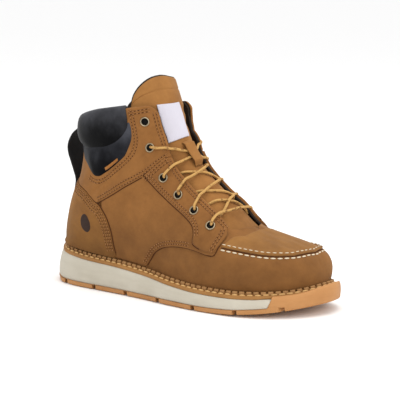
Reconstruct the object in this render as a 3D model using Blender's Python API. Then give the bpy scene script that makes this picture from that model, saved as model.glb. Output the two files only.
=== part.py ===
"""Wedge sole work boot, right foot, empty and standing on its sole.

Frame: metres, +X to the toe, +Y to the inner (medial) side, +Z up, ground at z = 0,
the origin under the middle of the sole's length and width.

The upper is a fan of sections. A section is a plane that holds the Y direction: at the
toe it stands upright, and it leans back row by row until at the collar it lies almost
level. Every piece on the upper is laid out on that one skin with two numbers:
  s   0 at the toe tip, 1 at the collar's top line
  w  -1 at the outer feather edge or back seam, 0 at the front ridge, +1 on the inner side
"""

import math

import bmesh
import bpy
import numpy as np
from mathutils import Vector

MM = 0.001

# Driving sizes of the sole
SOLE_LENGTH = 300.0 * MM
SOLE_WIDTH = 109.0 * MM
OUTSOLE_THICKNESS = 4.5 * MM
TOE_SPRING = 11.0 * MM
TOE_SPRING_START = 45.0 * MM
HEEL_ROLL = 1.2 * MM
NOTCH_WIDTH = 4.4 * MM
NOTCH_DEPTH = 4.2 * MM
TREAD_DEPTH = 2.4 * MM
NOTCH_REACH = 9.0 * MM
WRAP_START = 114.6 * MM
WRAP_SLANT = 3.0 * MM
HEEL_PLATFORM = 32.5 * MM
BALL_PLATFORM = 15.0 * MM
MIDSOLE_TUCK = 2.0 * MM
HEEL_TUCK = 3.0 * MM

# Driving sizes of the welt and the insole
WELT_THICKNESS = 3.2 * MM
WELT_EDGE = 2.0 * MM
WELT_WIDTH = 12.0 * MM
RIB_HEIGHT = 3.0 * MM
RIB_THICKNESS = 2.2 * MM
RIB_STANDOFF = 1.1 * MM
INSOLE_THICKNESS = 2.6 * MM

# Driving sizes of the upper
COLLAR_HEIGHT = 178.0 * MM
UPPER_WALL = 2.2 * MM
FEATHER_INSET = 9.6 * MM
THROAT_HALF_GAP = 24.5 * MM
THROAT_START = 0.298
THROAT_LENGTH = 0.030
OVERLAY_THICKNESS = 1.1 * MM
OVERLAY_GAP = 1.0 * MM
ABOVE_RIB = 4.4 * MM
TONGUE_THICKNESS = 4.0 * MM
TONGUE_GAP = 2.8 * MM
TONGUE_RISE = 25.0 * MM
TONGUE_LEAN = 9.0 * MM
TONGUE_CORNER = 11.0 * MM
TONGUE_PAST = 0.18
TONGUE_HALF_WIDTH = 34.0 * MM
COLLAR_PAD = 5.0 * MM
COLLAR_LIP = 3.0 * MM
COLLAR_LINING_DROP = 12.0 * MM
LOOP_WIDTH = 22.0 * MM
LOOP_THICKNESS = 1.8 * MM
LOOP_PATH = (
    (0.958, 6.6), (0.945, 9.0), (0.928, 12.0), (0.905, 13.5), (0.882, 11.0),
    (0.864, 7.0), (0.850, 4.4), (0.836, 4.0), (0.822, 4.2),
)

# Driving sizes of the small parts
EYELET_RADIUS = 4.6 * MM
EYELET_HOLE = 2.6 * MM
EYELET_HEIGHT = 1.0 * MM
LACE_DIAMETER = 3.6 * MM
LABEL_OUTER = -23.0 * MM
LABEL_INNER = 4.0 * MM
LABEL_LOW = 0.610
LABEL_TOP = 1.015
KEEPER_LOW = 0.506
KEEPER_TOP = 0.602
KEEPER_HALF_WIDTH = 7.0 * MM

# Room left between pieces that touch on the real boot
CLEARANCE = 0.3 * MM
EYESTAY_LIFT = OVERLAY_GAP + OVERLAY_THICKNESS + OVERLAY_GAP
STACK_TOP = EYESTAY_LIFT + OVERLAY_THICKNESS

# Outline of the sole, each row in shares: along the length from the heel, then the
# outer and the inner edge in widths from the middle line
OUTLINE_COLUMNS = ("along", "outer", "inner")
OUTLINE = (
    (0.000, 0.010, 0.010),
    (0.025, -0.190, 0.215),
    (0.087, -0.318, 0.345),
    (0.177, -0.362, 0.373),
    (0.293, -0.380, 0.356),
    (0.427, -0.417, 0.364),
    (0.560, -0.474, 0.428),
    (0.670, -0.500, 0.482),
    (0.770, -0.490, 0.500),
    (0.850, -0.424, 0.484),
    (0.920, -0.300, 0.438),
    (0.973, -0.118, 0.328),
    (1.000, 0.105, 0.105),
)

# Height of the platform that carries the welt: along in shares of the length, rise as a
# share of the step from the ball platform up to the heel platform
PLATFORM_COLUMNS = ("along", "rise")
PLATFORM = (
    (0.000, 1.00),
    (0.080, 0.83),
    (0.190, 0.64),
    (0.320, 0.53),
    (0.437, 0.37),
    (0.550, 0.14),
    (0.640, 0.03),
    (0.730, 0.00),
    (0.820, 0.03),
    (0.885, 0.09),
    (0.935, 0.18),
    (1.000, 0.50),
)

# Sections of the upper. foot: where the section meets the feather line, in lengths from
# the heel. back_x, back_z: its point on the back seam once it has left the feather
# line, in lengths and collar heights. ridge_x, ridge_z: its point on the front ridge.
# ridge_y, outer, inner: the ridge's side shift and how far the wall swells past the
# feather line, in widths. level: height of the widest point, in section heights.
# square: 2 is an ellipse, more is boxier.
SECTION_COLUMNS = ("foot", "back_x", "back_z", "ridge_x", "ridge_z", "ridge_y",
                   "outer", "inner", "level", "square")
SECTIONS = (
    (1.000, 0.040, 0.160, 0.968, 0.137, 0.105, 0.000, 0.000, 0.42, 2.4),
    (0.990, 0.040, 0.160, 0.965, 0.202, 0.105, 0.006, 0.006, 0.42, 2.5),
    (0.955, 0.040, 0.160, 0.953, 0.257, 0.100, 0.013, 0.013, 0.40, 2.6),
    (0.900, 0.040, 0.160, 0.929, 0.299, 0.090, 0.018, 0.018, 0.38, 2.6),
    (0.820, 0.040, 0.160, 0.883, 0.328, 0.065, 0.023, 0.023, 0.36, 2.5),
    (0.730, 0.040, 0.160, 0.807, 0.360, 0.040, 0.023, 0.023, 0.34, 2.4),
    (0.640, 0.040, 0.160, 0.730, 0.404, 0.020, 0.018, 0.018, 0.32, 2.3),
    (0.550, 0.040, 0.160, 0.674, 0.499, 0.005, 0.018, 0.018, 0.31, 2.2),
    (0.450, 0.040, 0.160, 0.622, 0.583, 0.000, 0.023, 0.028, 0.32, 2.1),
    (0.340, 0.040, 0.160, 0.570, 0.661, 0.000, 0.037, 0.046, 0.34, 2.1),
    (0.220, 0.040, 0.160, 0.530, 0.734, 0.000, 0.060, 0.073, 0.37, 2.05),
    (0.110, 0.040, 0.160, 0.508, 0.802, 0.000, 0.110, 0.120, 0.40, 2.0),
    (0.030, 0.040, 0.180, 0.497, 0.860, 0.000, 0.225, 0.230, 0.43, 2.0),
    (0.000, 0.040, 0.160, 0.492, 0.879, 0.000, 0.335, 0.335, 0.45, 2.0),
    (0.000, 0.035, 0.292, 0.488, 0.896, 0.000, 0.345, 0.345, 0.46, 2.0),
    (0.000, 0.061, 0.421, 0.482, 0.924, 0.000, 0.340, 0.340, 0.48, 2.0),
    (0.000, 0.097, 0.562, 0.477, 0.947, 0.000, 0.335, 0.335, 0.50, 2.0),
    (0.000, 0.115, 0.702, 0.472, 0.966, 0.000, 0.339, 0.339, 0.50, 2.0),
    (0.000, 0.118, 0.815, 0.467, 0.986, 0.000, 0.349, 0.349, 0.50, 2.0),
    (0.000, 0.120, 0.910, 0.463, 1.000, 0.000, 0.358, 0.358, 0.50, 2.0),
)

# Quarter overlay. down: share from the flap's edge to the welt, front and back: s of its
# two edges there
QUARTER_COLUMNS = ("down", "front", "back")
QUARTER = (
    (0.000, 0.320, 0.559),
    (0.100, 0.316, 0.563),
    (0.240, 0.313, 0.570),
    (0.400, 0.312, 0.594),
    (0.490, 0.312, 0.608),
    (0.530, 0.341, 0.617),
    (0.587, 0.379, 0.592),
    (0.667, 0.412, 0.548),
    (0.743, 0.428, 0.531),
    (0.862, 0.437, 0.512),
    (1.000, 0.438, 0.494),
)

# Eyestay band. step: s, back: its back edge as a share of the half girth
EYESTAY_COLUMNS = ("step", "back")
EYESTAY = (
    (0.313, 0.600),
    (0.341, 0.612),
    (0.362, 0.606),
    (0.378, 0.520),
    (0.395, 0.467),
    (0.410, 0.450),
    (0.450, 0.420),
    (0.500, 0.380),
    (0.536, 0.350),
    (0.572, 0.330),
)

# Heel counter. step: s, edge: its upper and front edge as a share of the half girth
COUNTER_COLUMNS = ("step", "edge")
COUNTER = (
    (0.502, 0.925),
    (0.524, 0.812),
    (0.561, 0.682),
    (0.590, 0.638),
    (0.617, 0.604),
    (0.708, 0.688),
    (0.801, 0.775),
    (0.826, 0.840),
    (0.842, 0.935),
)

# Apron of the toe. step: s, edge: its seam as a share of the half girth
APRON_COLUMNS = ("step", "edge")
APRON = (
    (0.150, 0.110),
    (0.158, 0.210),
    (0.172, 0.360),
    (0.201, 0.450),
    (0.242, 0.497),
    (0.283, 0.508),
    (0.309, 0.516),
)

# Collar roll. around: share from the back seam to the flap's edge, low: s of its lower edge
ROLL_COLUMNS = ("around", "low")
ROLL = (
    (0.00, 0.925),
    (0.16, 0.912),
    (0.38, 0.870),
    (0.56, 0.856),
    (0.66, 0.874),
    (0.74, 0.890),
)

# Collar pad. along: share from the back to the front, low and top: its two edges as s and
# as a share of the half girth
PAD_COLUMNS = ("along", "low_s", "low_w", "top_s", "top_w")
PAD = (
    (0.00, 0.868, 0.862, 0.900, 0.862),
    (0.25, 0.806, 0.665, 0.866, 0.690),
    (0.50, 0.762, 0.545, 0.850, 0.555),
    (0.75, 0.752, 0.425, 0.852, 0.450),
    (1.00, 0.774, 0.330, 0.872, 0.362),
)

# Eyelets from the collar down. step: s, reach and seat: millimetres from the ridge and
# from the skin up to the leather they sit on
EYELET_COLUMNS = ("step", "reach", "seat")
EYELETS = (
    (0.880, 38.6, 0.9),
    (0.689, 41.3, 3.5),
    (0.524, 41.5, 4.3),
    (0.466, 40.3, 4.3),
    (0.412, 39.0, 4.3),
    (0.358, 38.3, 4.3),
)


def column(columns, rows, name):
    """One named column of a table as an array."""
    return np.array([row[columns.index(name)] for row in rows], float)


def look_up(columns, rows, name, at):
    """One named column read at a place of the table's first column."""
    return float(smooth(column(columns, rows, columns[0]), column(columns, rows, name), at))


def smooth(knots, values, at):
    """Monotone cubic through the knots, without overshoot between them."""
    step = np.diff(knots)
    slope = np.diff(values) / step
    inner = np.zeros(len(knots))
    inner[0] = slope[0]
    inner[-1] = slope[-1]
    for k in range(1, len(knots) - 1):
        if slope[k - 1] * slope[k] > 0.0:
            before = 2.0 * step[k] + step[k - 1]
            after = step[k] + 2.0 * step[k - 1]
            inner[k] = (before + after) / (before / slope[k - 1] + after / slope[k])
    at = np.clip(at, knots[0], knots[-1])
    k = np.clip(np.searchsorted(knots, at) - 1, 0, len(step) - 1)
    u = (at - knots[k]) / step[k]
    rise = values[k] * (1 + 2 * u) * (1 - u) ** 2 + values[k + 1] * u * u * (3 - 2 * u)
    return rise + step[k] * (inner[k] * u * (1 - u) ** 2 - inner[k + 1] * u * u * (1 - u))


def ease(value):
    """Smooth step from 0 to 1."""
    value = min(max(value, 0.0), 1.0)
    return value * value * (3.0 - 2.0 * value)


# The sole's outline and heights

OUTLINE_TURN = np.arccos(1.0 - 2.0 * column(OUTLINE_COLUMNS, OUTLINE, "along"))


def turn_at(along):
    """Turn angle of the outline at a share of the length: 0 at the heel, pi at the toe."""
    return math.acos(min(max(1.0 - 2.0 * along, -1.0), 1.0))


def outline_point(turn, side):
    """Point of the sole's outline, side -1 on the outer edge and +1 on the inner."""
    name = "inner" if side > 0 else "outer"
    share = smooth(OUTLINE_TURN, column(OUTLINE_COLUMNS, OUTLINE, name), turn)
    return np.array([-0.5 * SOLE_LENGTH * math.cos(turn), float(share) * SOLE_WIDTH])


def rim_point(turn, side, inset, square=False):
    """Outline point moved inwards, square to the outline, or straight across the sole."""
    reach = 0.02
    here = outline_point(turn, side)
    ahead = outline_point(min(turn + reach, math.pi), side)
    behind = outline_point(max(turn - reach, 0.0), side)
    run = ahead - behind
    if turn < reach or turn > math.pi - reach:
        run = np.array([0.0, side if turn < reach else -side])
    inward = np.array([run[1], -run[0]]) * side
    inward = inward / np.linalg.norm(inward)
    if square and abs(inward[1]) > 0.5:
        return here + np.array([0.0, inset / inward[1]])
    return here + inward * inset


def platform(x):
    """Height of the midsole's top, where the welt lies."""
    along = x / SOLE_LENGTH + 0.5
    rise = smooth(column(PLATFORM_COLUMNS, PLATFORM, "along"),
                  column(PLATFORM_COLUMNS, PLATFORM, "rise"), along)
    return BALL_PLATFORM + float(rise) * (HEEL_PLATFORM - BALL_PLATFORM)


def underside(x):
    """Height of the outsole's bottom: flat, with toe spring and a rolled heel edge."""
    ahead = max(x - TOE_SPRING_START, 0.0) / (0.5 * SOLE_LENGTH - TOE_SPRING_START)
    heel_edge = 0.44 * SOLE_LENGTH
    behind = max(-x - heel_edge, 0.0) / (0.5 * SOLE_LENGTH - heel_edge)
    return TOE_SPRING * ahead ** 2.2 + HEEL_ROLL * behind ** 2


def heel_share(x):
    """1 at the heel's back, falling to 0 within a tenth of the length."""
    return ease((-x / SOLE_LENGTH - 0.38) / 0.12)


def tuck(x):
    """How far the midsole's top edge draws in from its widest line."""
    return MIDSOLE_TUCK + HEEL_TUCK * heel_share(x)


WRAP_LOW = WRAP_START
WRAP_HIGH = WRAP_START + WRAP_SLANT


def wrap_share(x):
    """0 where the midsole shows, 1 where the outsole wraps up round the toe."""
    return ease((x - WRAP_START + 2.0 * WRAP_SLANT) / (2.0 * WRAP_SLANT))


# The upper's skin

SECTION_STEPS = np.linspace(0.0, 1.0, len(SECTIONS))
SECTION_TABLE = {name: column(SECTION_COLUMNS, SECTIONS, name) for name in SECTION_COLUMNS}
SECTION_TABLE["foot"] = np.arccos(1.0 - 2.0 * SECTION_TABLE["foot"])
HEEL_ROW = int(np.argmax(SECTION_TABLE["foot"] <= 0.0))
HEEL_STEP = float(SECTION_STEPS[HEEL_ROW])
SECTION_CACHE = {}


def feather_height(x):
    """Height of the upper's lower edge, just clear of the welt."""
    return platform(x) + WELT_THICKNESS + 3.0 * CLEARANCE


# Up to the heel row a section stands on the feather line, so its back point is the
# feather line's own end, where the back seam starts
HEEL_X = FEATHER_INSET - 0.5 * SOLE_LENGTH
SECTION_TABLE["back_x"][:HEEL_ROW + 1] = HEEL_X / SOLE_LENGTH + 0.5
SECTION_TABLE["back_z"][:HEEL_ROW + 1] = feather_height(HEEL_X) / COLLAR_HEIGHT


def section(s):
    """Half sections at s: points from the bottom edge up to the ridge, for both sides."""
    key = round(s, 6)
    if key in SECTION_CACHE:
        return SECTION_CACHE[key]
    row = {name: float(smooth(SECTION_STEPS, SECTION_TABLE[name], s))
           for name in SECTION_COLUMNS}
    ridge = np.array([(row["ridge_x"] - 0.5) * SOLE_LENGTH, row["ridge_y"] * SOLE_WIDTH,
                      row["ridge_z"] * COLLAR_HEIGHT])
    back = np.array([(row["back_x"] - 0.5) * SOLE_LENGTH, 0.0, row["back_z"] * COLLAR_HEIGHT])
    angle = np.linspace(0.0, math.pi / 2.0, 15)
    halves = {}
    for side, name in ((-1, "outer"), (1, "inner")):
        foot = rim_point(row["foot"], side, FEATHER_INSET)
        bottom = np.array([foot[0], foot[1], feather_height(foot[0])])
        if s >= HEEL_STEP:
            bottom = back
        half_bottom = abs(bottom[1] - ridge[1])
        widest = half_bottom + row[name] * SOLE_WIDTH
        closing = 1.0 - min(half_bottom / max(widest, 1e-6), 1.0) ** 2
        low = 1.0 - np.sin(angle[::-1])
        soft = low * low * (3.0 - 2.0 * low)
        round_low = np.cos(angle[::-1])
        reach = half_bottom + (widest - half_bottom) * ((1 - closing) * soft + closing * round_low)
        up_low = row["level"] * low
        power = 2.0 / row["square"]
        top_reach = widest * np.cos(angle) ** power
        top_reach[-1] = 0.0
        up_top = row["level"] + (1.0 - row["level"]) * np.sin(angle) ** power
        reach = np.concatenate([reach, top_reach[1:]])
        up = np.concatenate([up_low, up_top[1:]])
        points = np.zeros((len(up), 3))
        points[:, 0] = bottom[0] + (ridge[0] - bottom[0]) * up
        points[:, 2] = bottom[2] + (ridge[2] - bottom[2]) * up
        points[:, 1] = ridge[1] + side * reach
        run = np.concatenate([[0.0], np.cumsum(np.linalg.norm(np.diff(points, axis=0), axis=1))])
        halves[side] = (points, run)
    SECTION_CACHE[key] = halves
    return halves


def half_girth(s, side):
    """Length along the skin from the bottom edge to the ridge."""
    return float(section(s)[side][1][-1])


def skin_point(s, w):
    """Point of the upper's outer surface."""
    points, run = section(s)[-1 if w <= 0.0 else 1]
    place = (1.0 - abs(w)) * run[-1]
    return np.array([np.interp(place, run, points[:, k]) for k in range(3)])


def raw_normal(s, w):
    """Outward normal from the slopes of the skin, on one side only."""
    ds = 0.006
    dw = 0.03
    low = max(s - ds, 0.004)
    along = skin_point(min(s + ds, 1.0), w) - skin_point(low, w)
    across = skin_point(s, min(w + dw, 1.0)) - skin_point(s, max(w - dw, -1.0))
    normal = np.cross(across, along)
    return normal / np.linalg.norm(normal)


def skin_normal(s, w):
    """Outward normal of the upper's outer surface, shared by both sides at the back."""
    if abs(w) < 1.0 - 1e-6 or s < HEEL_STEP:
        return raw_normal(s, w)
    normal = raw_normal(s, -1.0) + raw_normal(s, 1.0)
    normal[1] = 0.0
    return normal / np.linalg.norm(normal)


def skin(s, w, lift=0.0):
    """Point that stands off the upper's outer surface by lift, inwards when negative."""
    point = skin_point(s, w)
    if lift != 0.0:
        point = point + skin_normal(s, w) * lift
    return point


def flap_edge(s):
    """The flap's front edge at s, as a share of the half girth."""
    return THROAT_HALF_GAP / (0.5 * (half_girth(s, -1) + half_girth(s, 1)))


def throat_share(s):
    """Half width of the throat at s, rounded off at its lower end."""
    return ease((s - THROAT_START) / THROAT_LENGTH) * flap_edge(s)


def above_rib(s, side):
    """Share of the half girth where the skin has come clear of the welt's rib."""
    points, run = section(s)[side]
    climb = points[:, 2] - np.array([feather_height(x) for x in points[:, 0]])
    return 1.0 - float(np.interp(ABOVE_RIB, climb, run)) / run[-1]


def at_reach(s, reach, lift):
    """Point at a signed distance along the skin from the ridge, outer side negative."""
    side = -1 if reach <= 0.0 else 1
    return skin(s, reach / half_girth(s, side), lift)


# Mesh helpers

def make_material(name, color, roughness, metallic=0.0):
    """Principled material of one colour."""
    material = bpy.data.materials.new(name)
    material.use_nodes = True
    shader = material.node_tree.nodes["Principled BSDF"]
    shader.inputs["Base Color"].default_value = (*color, 1.0)
    shader.inputs["Roughness"].default_value = roughness
    shader.inputs["Metallic"].default_value = metallic
    material.diffuse_color = (*color, 1.0)
    return material


def add_object(name, bm, material, sharp_angle=40.0):
    """Turn a bmesh into a named object with outward faces."""
    bmesh.ops.remove_doubles(bm, verts=bm.verts, dist=0.00002)
    bmesh.ops.recalc_face_normals(bm, faces=bm.faces)
    mesh = bpy.data.meshes.new(name)
    bm.to_mesh(mesh)
    bm.free()
    mesh.materials.append(material)
    mesh.shade_smooth()
    mesh.set_sharp_from_angle(angle=math.radians(sharp_angle))
    thing = bpy.data.objects.new(name, mesh)
    bpy.context.scene.collection.objects.link(thing)
    return thing


def add_cutter(name, bm):
    """Turn a bmesh into a hidden cutter."""
    thing = add_object(name, bm, CUTTER_MATERIAL)
    thing.hide_render = True
    thing.display_type = "WIRE"
    return thing


def cut(thing, tool, operation="DIFFERENCE"):
    """Boolean of one object with a tool object."""
    modifier = thing.modifiers.new(tool.name, "BOOLEAN")
    modifier.operation = operation
    modifier.solver = "EXACT"
    modifier.object = tool


def sole_stations(count):
    """Turn angles of the stations from heel to toe."""
    return list(np.linspace(0.0, math.pi, count + 1))


def ring_of(bm, turns, inset, height, square=False):
    """Ring of vertices round the sole. inset is a size or a function of x, height a
    function of x and of the station's x on the outline."""
    ring = []
    outer = [(turn, -1) for turn in turns]
    inner = [(turn, 1) for turn in reversed(turns[1:-1])]
    for turn, side in outer + inner:
        station = outline_point(turn, side)[0]
        depth = inset(station) if callable(inset) else inset
        point = rim_point(turn, side, depth, square)
        ring.append(bm.verts.new((point[0], point[1], height(point[0], station))))
    return ring


def join_rings(bm, lower, upper):
    """Band of quads between two rings."""
    count = len(lower)
    for k in range(count):
        bm.faces.new((lower[k], lower[(k + 1) % count], upper[(k + 1) % count], upper[k]))


def close_ring(bm, ring, stations):
    """Ladder of faces across a ring, from heel to toe."""
    count = len(ring)
    for k in range(stations):
        corners = [ring[k], ring[k + 1], ring[(count - k - 1) % count], ring[(count - k) % count]]
        unique = list(dict.fromkeys(corners))
        bm.faces.new(unique)


def sole_slab(turns, rows, square=False):
    """Closed slab from rows of (inset, height), bottom to top."""
    bm = bmesh.new()
    rings = [ring_of(bm, turns, inset, height, square) for inset, height in rows]
    for lower, upper in zip(rings, rings[1:]):
        join_rings(bm, lower, upper)
    close_ring(bm, rings[0], len(turns) - 1)
    close_ring(bm, rings[-1], len(turns) - 1)
    return bm


def close_grids(bm, layers, rows, columns):
    """Faces of two grids of vertices and of the band between them."""
    for grid in layers:
        for i in range(rows):
            for j in range(columns):
                bm.faces.new((grid[i][j], grid[i][j + 1], grid[i + 1][j + 1], grid[i + 1][j]))
    lower, upper = layers
    for i in range(rows):
        for j in (0, columns):
            bm.faces.new((lower[i][j], lower[i + 1][j], upper[i + 1][j], upper[i][j]))
    for j in range(columns):
        for i in (0, rows):
            bm.faces.new((lower[i][j], lower[i][j + 1], upper[i][j + 1], upper[i][j]))


def sheet(rows, columns, surface, low, high):
    """Closed sheet between two lifts of a surface.

    surface(a, b, lift) gives a point for the shares a along and b across. low and high
    are lifts, or functions of a and b.
    """
    bm = bmesh.new()
    layers = []
    for lift in (low, high):
        grid = []
        for i in range(rows + 1):
            line = []
            for j in range(columns + 1):
                a = i / rows
                b = j / columns
                height = lift(a, b) if callable(lift) else lift
                line.append(bm.verts.new(surface(a, b, height)))
            grid.append(line)
        layers.append(grid)
    close_grids(bm, layers, rows, columns)
    return bm


def tube(points, radius, sides=5):
    """Closed tube through the points."""
    points = [np.array(point, float) for point in points]
    bm = bmesh.new()
    rings = []
    guide = np.array([0.0, 0.0, 1.0])
    for k, point in enumerate(points):
        ahead = points[min(k + 1, len(points) - 1)] - points[max(k - 1, 0)]
        ahead = ahead / np.linalg.norm(ahead)
        across = np.cross(ahead, guide)
        across = across / np.linalg.norm(across)
        guide = np.cross(across, ahead)
        ring = []
        for n in range(sides):
            turn = 2.0 * math.pi * (n + 0.5) / sides
            offset = across * math.cos(turn) + guide * math.sin(turn)
            ring.append(bm.verts.new(point + radius * offset))
        rings.append(ring)
    for lower, upper in zip(rings, rings[1:]):
        join_rings(bm, lower, upper)
    bm.faces.new(rings[0])
    bm.faces.new(rings[-1])
    return bm


# Sole pieces

def build_outsole(material):
    """Gum outsole: thin slab with cross grooves, and a toe that wraps up to the welt."""
    turns = sorted(list(sole_stations(24)) + [turn_at(WRAP_LOW / SOLE_LENGTH + 0.5),
                                              turn_at(WRAP_HIGH / SOLE_LENGTH + 0.5)])

    def top(at_wrap):
        """Thin behind the wrap line, and at_wrap above the platform ahead of it."""
        def height(x, station):
            if station < WRAP_HIGH - 1e-6:
                return underside(x) + OUTSOLE_THICKNESS
            return platform(x) + at_wrap
        return height

    lip = 0.8 * WELT_THICKNESS
    bm = sole_slab(turns, (
        (2.2 * MM, lambda x, station: underside(x)),
        (0.7 * MM, lambda x, station: underside(x) + 0.9 * MM),
        (0.3 * MM, lambda x, station: underside(x) + OUTSOLE_THICKNESS - CLEARANCE),
        (0.4 * MM, top(0.0)),
        (1.0 * MM, top(lip)),
        (WRAP_LIP_INSET - 0.2 * MM, top(lip)),
        (WRAP_LIP_INSET, top(0.0)),
    ), square=True)
    outsole = add_object("outsole", bm, material)
    for k, along in enumerate(NOTCHES):
        cut(outsole, build_notch(k, along))
    return outsole


def halve(bm, place, normal):
    """Keep the part of a solid that lies ahead of a plane, and close it."""
    geometry = list(bm.verts) + list(bm.edges) + list(bm.faces)
    result = bmesh.ops.bisect_plane(bm, geom=geometry, plane_co=place, plane_no=normal,
                                    clear_inner=True, dist=1e-6)
    rim = [item for item in result["geom_cut"] if isinstance(item, bmesh.types.BMEdge)]
    bmesh.ops.contextual_create(bm, geom=rim)


WRAP_LIP_INSET = WELT_EDGE + 1.3 * MM
NOTCHES = (0.095, 0.225, 0.360, 0.500, 0.645, 0.792, 0.915)


def build_notch(index, along):
    """Cutter for one cross groove, deeper where it leaves the sole's side."""
    x = (along - 0.5) * SOLE_LENGTH
    turn = turn_at(along)
    floor = underside(x)
    outer = outline_point(turn, -1)[1]
    inner = outline_point(turn, 1)[1]
    past = 12.0 * MM
    shape = (
        (outer - past, -past), (inner + past, -past), (inner + past, NOTCH_DEPTH),
        (inner - NOTCH_REACH, NOTCH_DEPTH), (inner - NOTCH_REACH - 2 * MM, TREAD_DEPTH),
        (outer + NOTCH_REACH + 2 * MM, TREAD_DEPTH), (outer + NOTCH_REACH, NOTCH_DEPTH),
        (outer - past, NOTCH_DEPTH),
    )
    bm = bmesh.new()
    corners = [bm.verts.new((x - 0.5 * NOTCH_WIDTH, y, floor + z)) for y, z in shape]
    face = bm.faces.new(corners)
    pushed = bmesh.ops.extrude_face_region(bm, geom=[face])["geom"]
    moved = [item for item in pushed if isinstance(item, bmesh.types.BMVert)]
    bmesh.ops.translate(bm, verts=moved, vec=(NOTCH_WIDTH, 0.0, 0.0))
    return add_cutter("notch_%d" % (index + 1), bm)


def build_midsole(material):
    """Cream wedge between the outsole and the welt, ending at the gum toe."""
    turns = sole_stations(30)

    def side_height(share):
        """Height on the midsole's side wall, from its bottom edge to its top edge."""
        def height(x, station):
            low = underside(x) + OUTSOLE_THICKNESS + CLEARANCE
            return low + share * (platform(x) - low)
        return height

    bm = sole_slab(turns, (
        (1.0 * MM, side_height(0.0)),
        (0.2 * MM, side_height(0.12)),
        (lambda x: 0.15 * tuck(x), side_height(0.45)),
        (lambda x: 0.55 * tuck(x), side_height(0.8)),
        (tuck, side_height(1.0)),
    ))
    foot = Vector((WRAP_LOW, 0.0, underside(WRAP_LOW) + OUTSOLE_THICKNESS))
    head = Vector((WRAP_HIGH, 0.0, platform(WRAP_HIGH)))
    slant = Vector((foot.z - head.z, 0.0, head.x - foot.x)).normalized()
    halve(bm, foot + slant * 3.5 * CLEARANCE, slant)
    return add_object("midsole", bm, material)


def build_welt(material):
    """Welt strip all round, with the raised rib that stands against the upper."""
    turns = sole_stations(26)
    rib_in = FEATHER_INSET - RIB_STANDOFF
    rib_out = rib_in - RIB_THICKNESS
    far_in = WELT_EDGE + WELT_WIDTH

    def edge(extra):
        """Outer edge of the strip: drawn in behind the gum wrap and at the heel."""
        def inset(x):
            return WELT_EDGE + extra + HEEL_TUCK * heel_share(x) + 1.7 * MM * wrap_share(x)
        return inset

    def level(rise):
        """Height above the platform."""
        return lambda x, station: platform(x) + CLEARANCE + rise

    profile = (
        (edge(0.5 * MM), level(0.0)),
        (edge(0.0), level(0.9 * MM)),
        (edge(0.3 * MM), level(WELT_THICKNESS - CLEARANCE)),
        (rib_out - 0.5 * MM, level(WELT_THICKNESS - CLEARANCE)),
        (rib_out, level(WELT_THICKNESS + RIB_HEIGHT - CLEARANCE)),
        (rib_in, level(WELT_THICKNESS + RIB_HEIGHT - CLEARANCE)),
        (rib_in, level(WELT_THICKNESS - CLEARANCE)),
        (far_in, level(WELT_THICKNESS - CLEARANCE)),
        (far_in, level(0.0)),
    )
    bm = bmesh.new()
    rings = [ring_of(bm, turns, inset, height) for inset, height in profile]
    for lower, upper in zip(rings, rings[1:] + rings[:1]):
        join_rings(bm, lower, upper)
    return add_object("welt", bm, material)


def build_insole(material):
    """Insole that fills the welt's opening and spreads to the upper's wall."""
    turns = sole_stations(20)
    inside_welt = WELT_EDGE + WELT_WIDTH + 3.6 * CLEARANCE
    inside_wall = FEATHER_INSET + UPPER_WALL + 5.0 * CLEARANCE
    over_welt = WELT_THICKNESS + CLEARANCE

    def above(rise):
        """Height above the platform."""
        return lambda x, station: platform(x) + rise

    bm = sole_slab(turns, (
        (inside_welt, above(2.0 * CLEARANCE)),
        (inside_welt, above(over_welt)),
        (inside_wall, above(over_welt)),
        (inside_wall + 0.6 * MM, above(over_welt + INSOLE_THICKNESS)),
    ))
    return add_object("insole", bm, material)


# Upper pieces

def upper_steps():
    """Rows of the upper's grid, closer at the toe and round the end of the throat."""
    toe = [0.006, 0.022, 0.048]
    vamp = list(np.linspace(0.078, THROAT_START - 0.012, 8))
    corner = list(THROAT_START + THROAT_LENGTH * np.linspace(0.0, 1.0, 5))
    quarter = list(np.linspace(THROAT_START + THROAT_LENGTH, HEEL_STEP, 12)[1:])
    shaft = list(np.linspace(HEEL_STEP, 1.0, 10)[1:])
    return toe + vamp + corner + quarter + shaft


UPPER_COLUMNS = 9


def around(s, share, side):
    """Position w at a share of the way from the bottom or back seam to the throat."""
    return side * (1.0 - (1.0 - throat_share(s)) * share)


def two_sided(steps, columns, place, lifts, open_bottom, open_edge, end_rows):
    """Closed shell over both sides of the skin.

    place(s, share, side) gives w. open_bottom(s) and open_edge(s) tell where the shell
    has a rim at its first and last column, end_rows names the rows that close it.
    """
    bm = bmesh.new()
    layers = []
    for lift in lifts:
        grid = {}
        for i, s in enumerate(steps):
            for side in (-1, 1):
                for j in range(columns + 1):
                    w = place(s, j / columns, side)
                    grid[i, side, j] = bm.verts.new(skin(s, w, lift))
        layers.append(grid)
    for grid in layers:
        for i in range(len(steps) - 1):
            for side in (-1, 1):
                for j in range(columns):
                    bm.faces.new((grid[i, side, j], grid[i + 1, side, j],
                                  grid[i + 1, side, j + 1], grid[i, side, j + 1]))
    outer, inner = layers
    for side in (-1, 1):
        for i, s in enumerate(steps[:-1]):
            if open_bottom(s):
                rim_band(bm, outer, inner, (i, side, 0), (i + 1, side, 0))
            if open_edge(s):
                rim_band(bm, outer, inner, (i, side, columns), (i + 1, side, columns))
        for row in end_rows:
            for j in range(columns):
                rim_band(bm, outer, inner, (row, side, j), (row, side, j + 1))
    return bm


def rim_band(bm, outer, inner, first, second):
    """Face across a shell's edge between two grid places."""
    bm.faces.new((outer[first], outer[second], inner[second], inner[first]))


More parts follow.
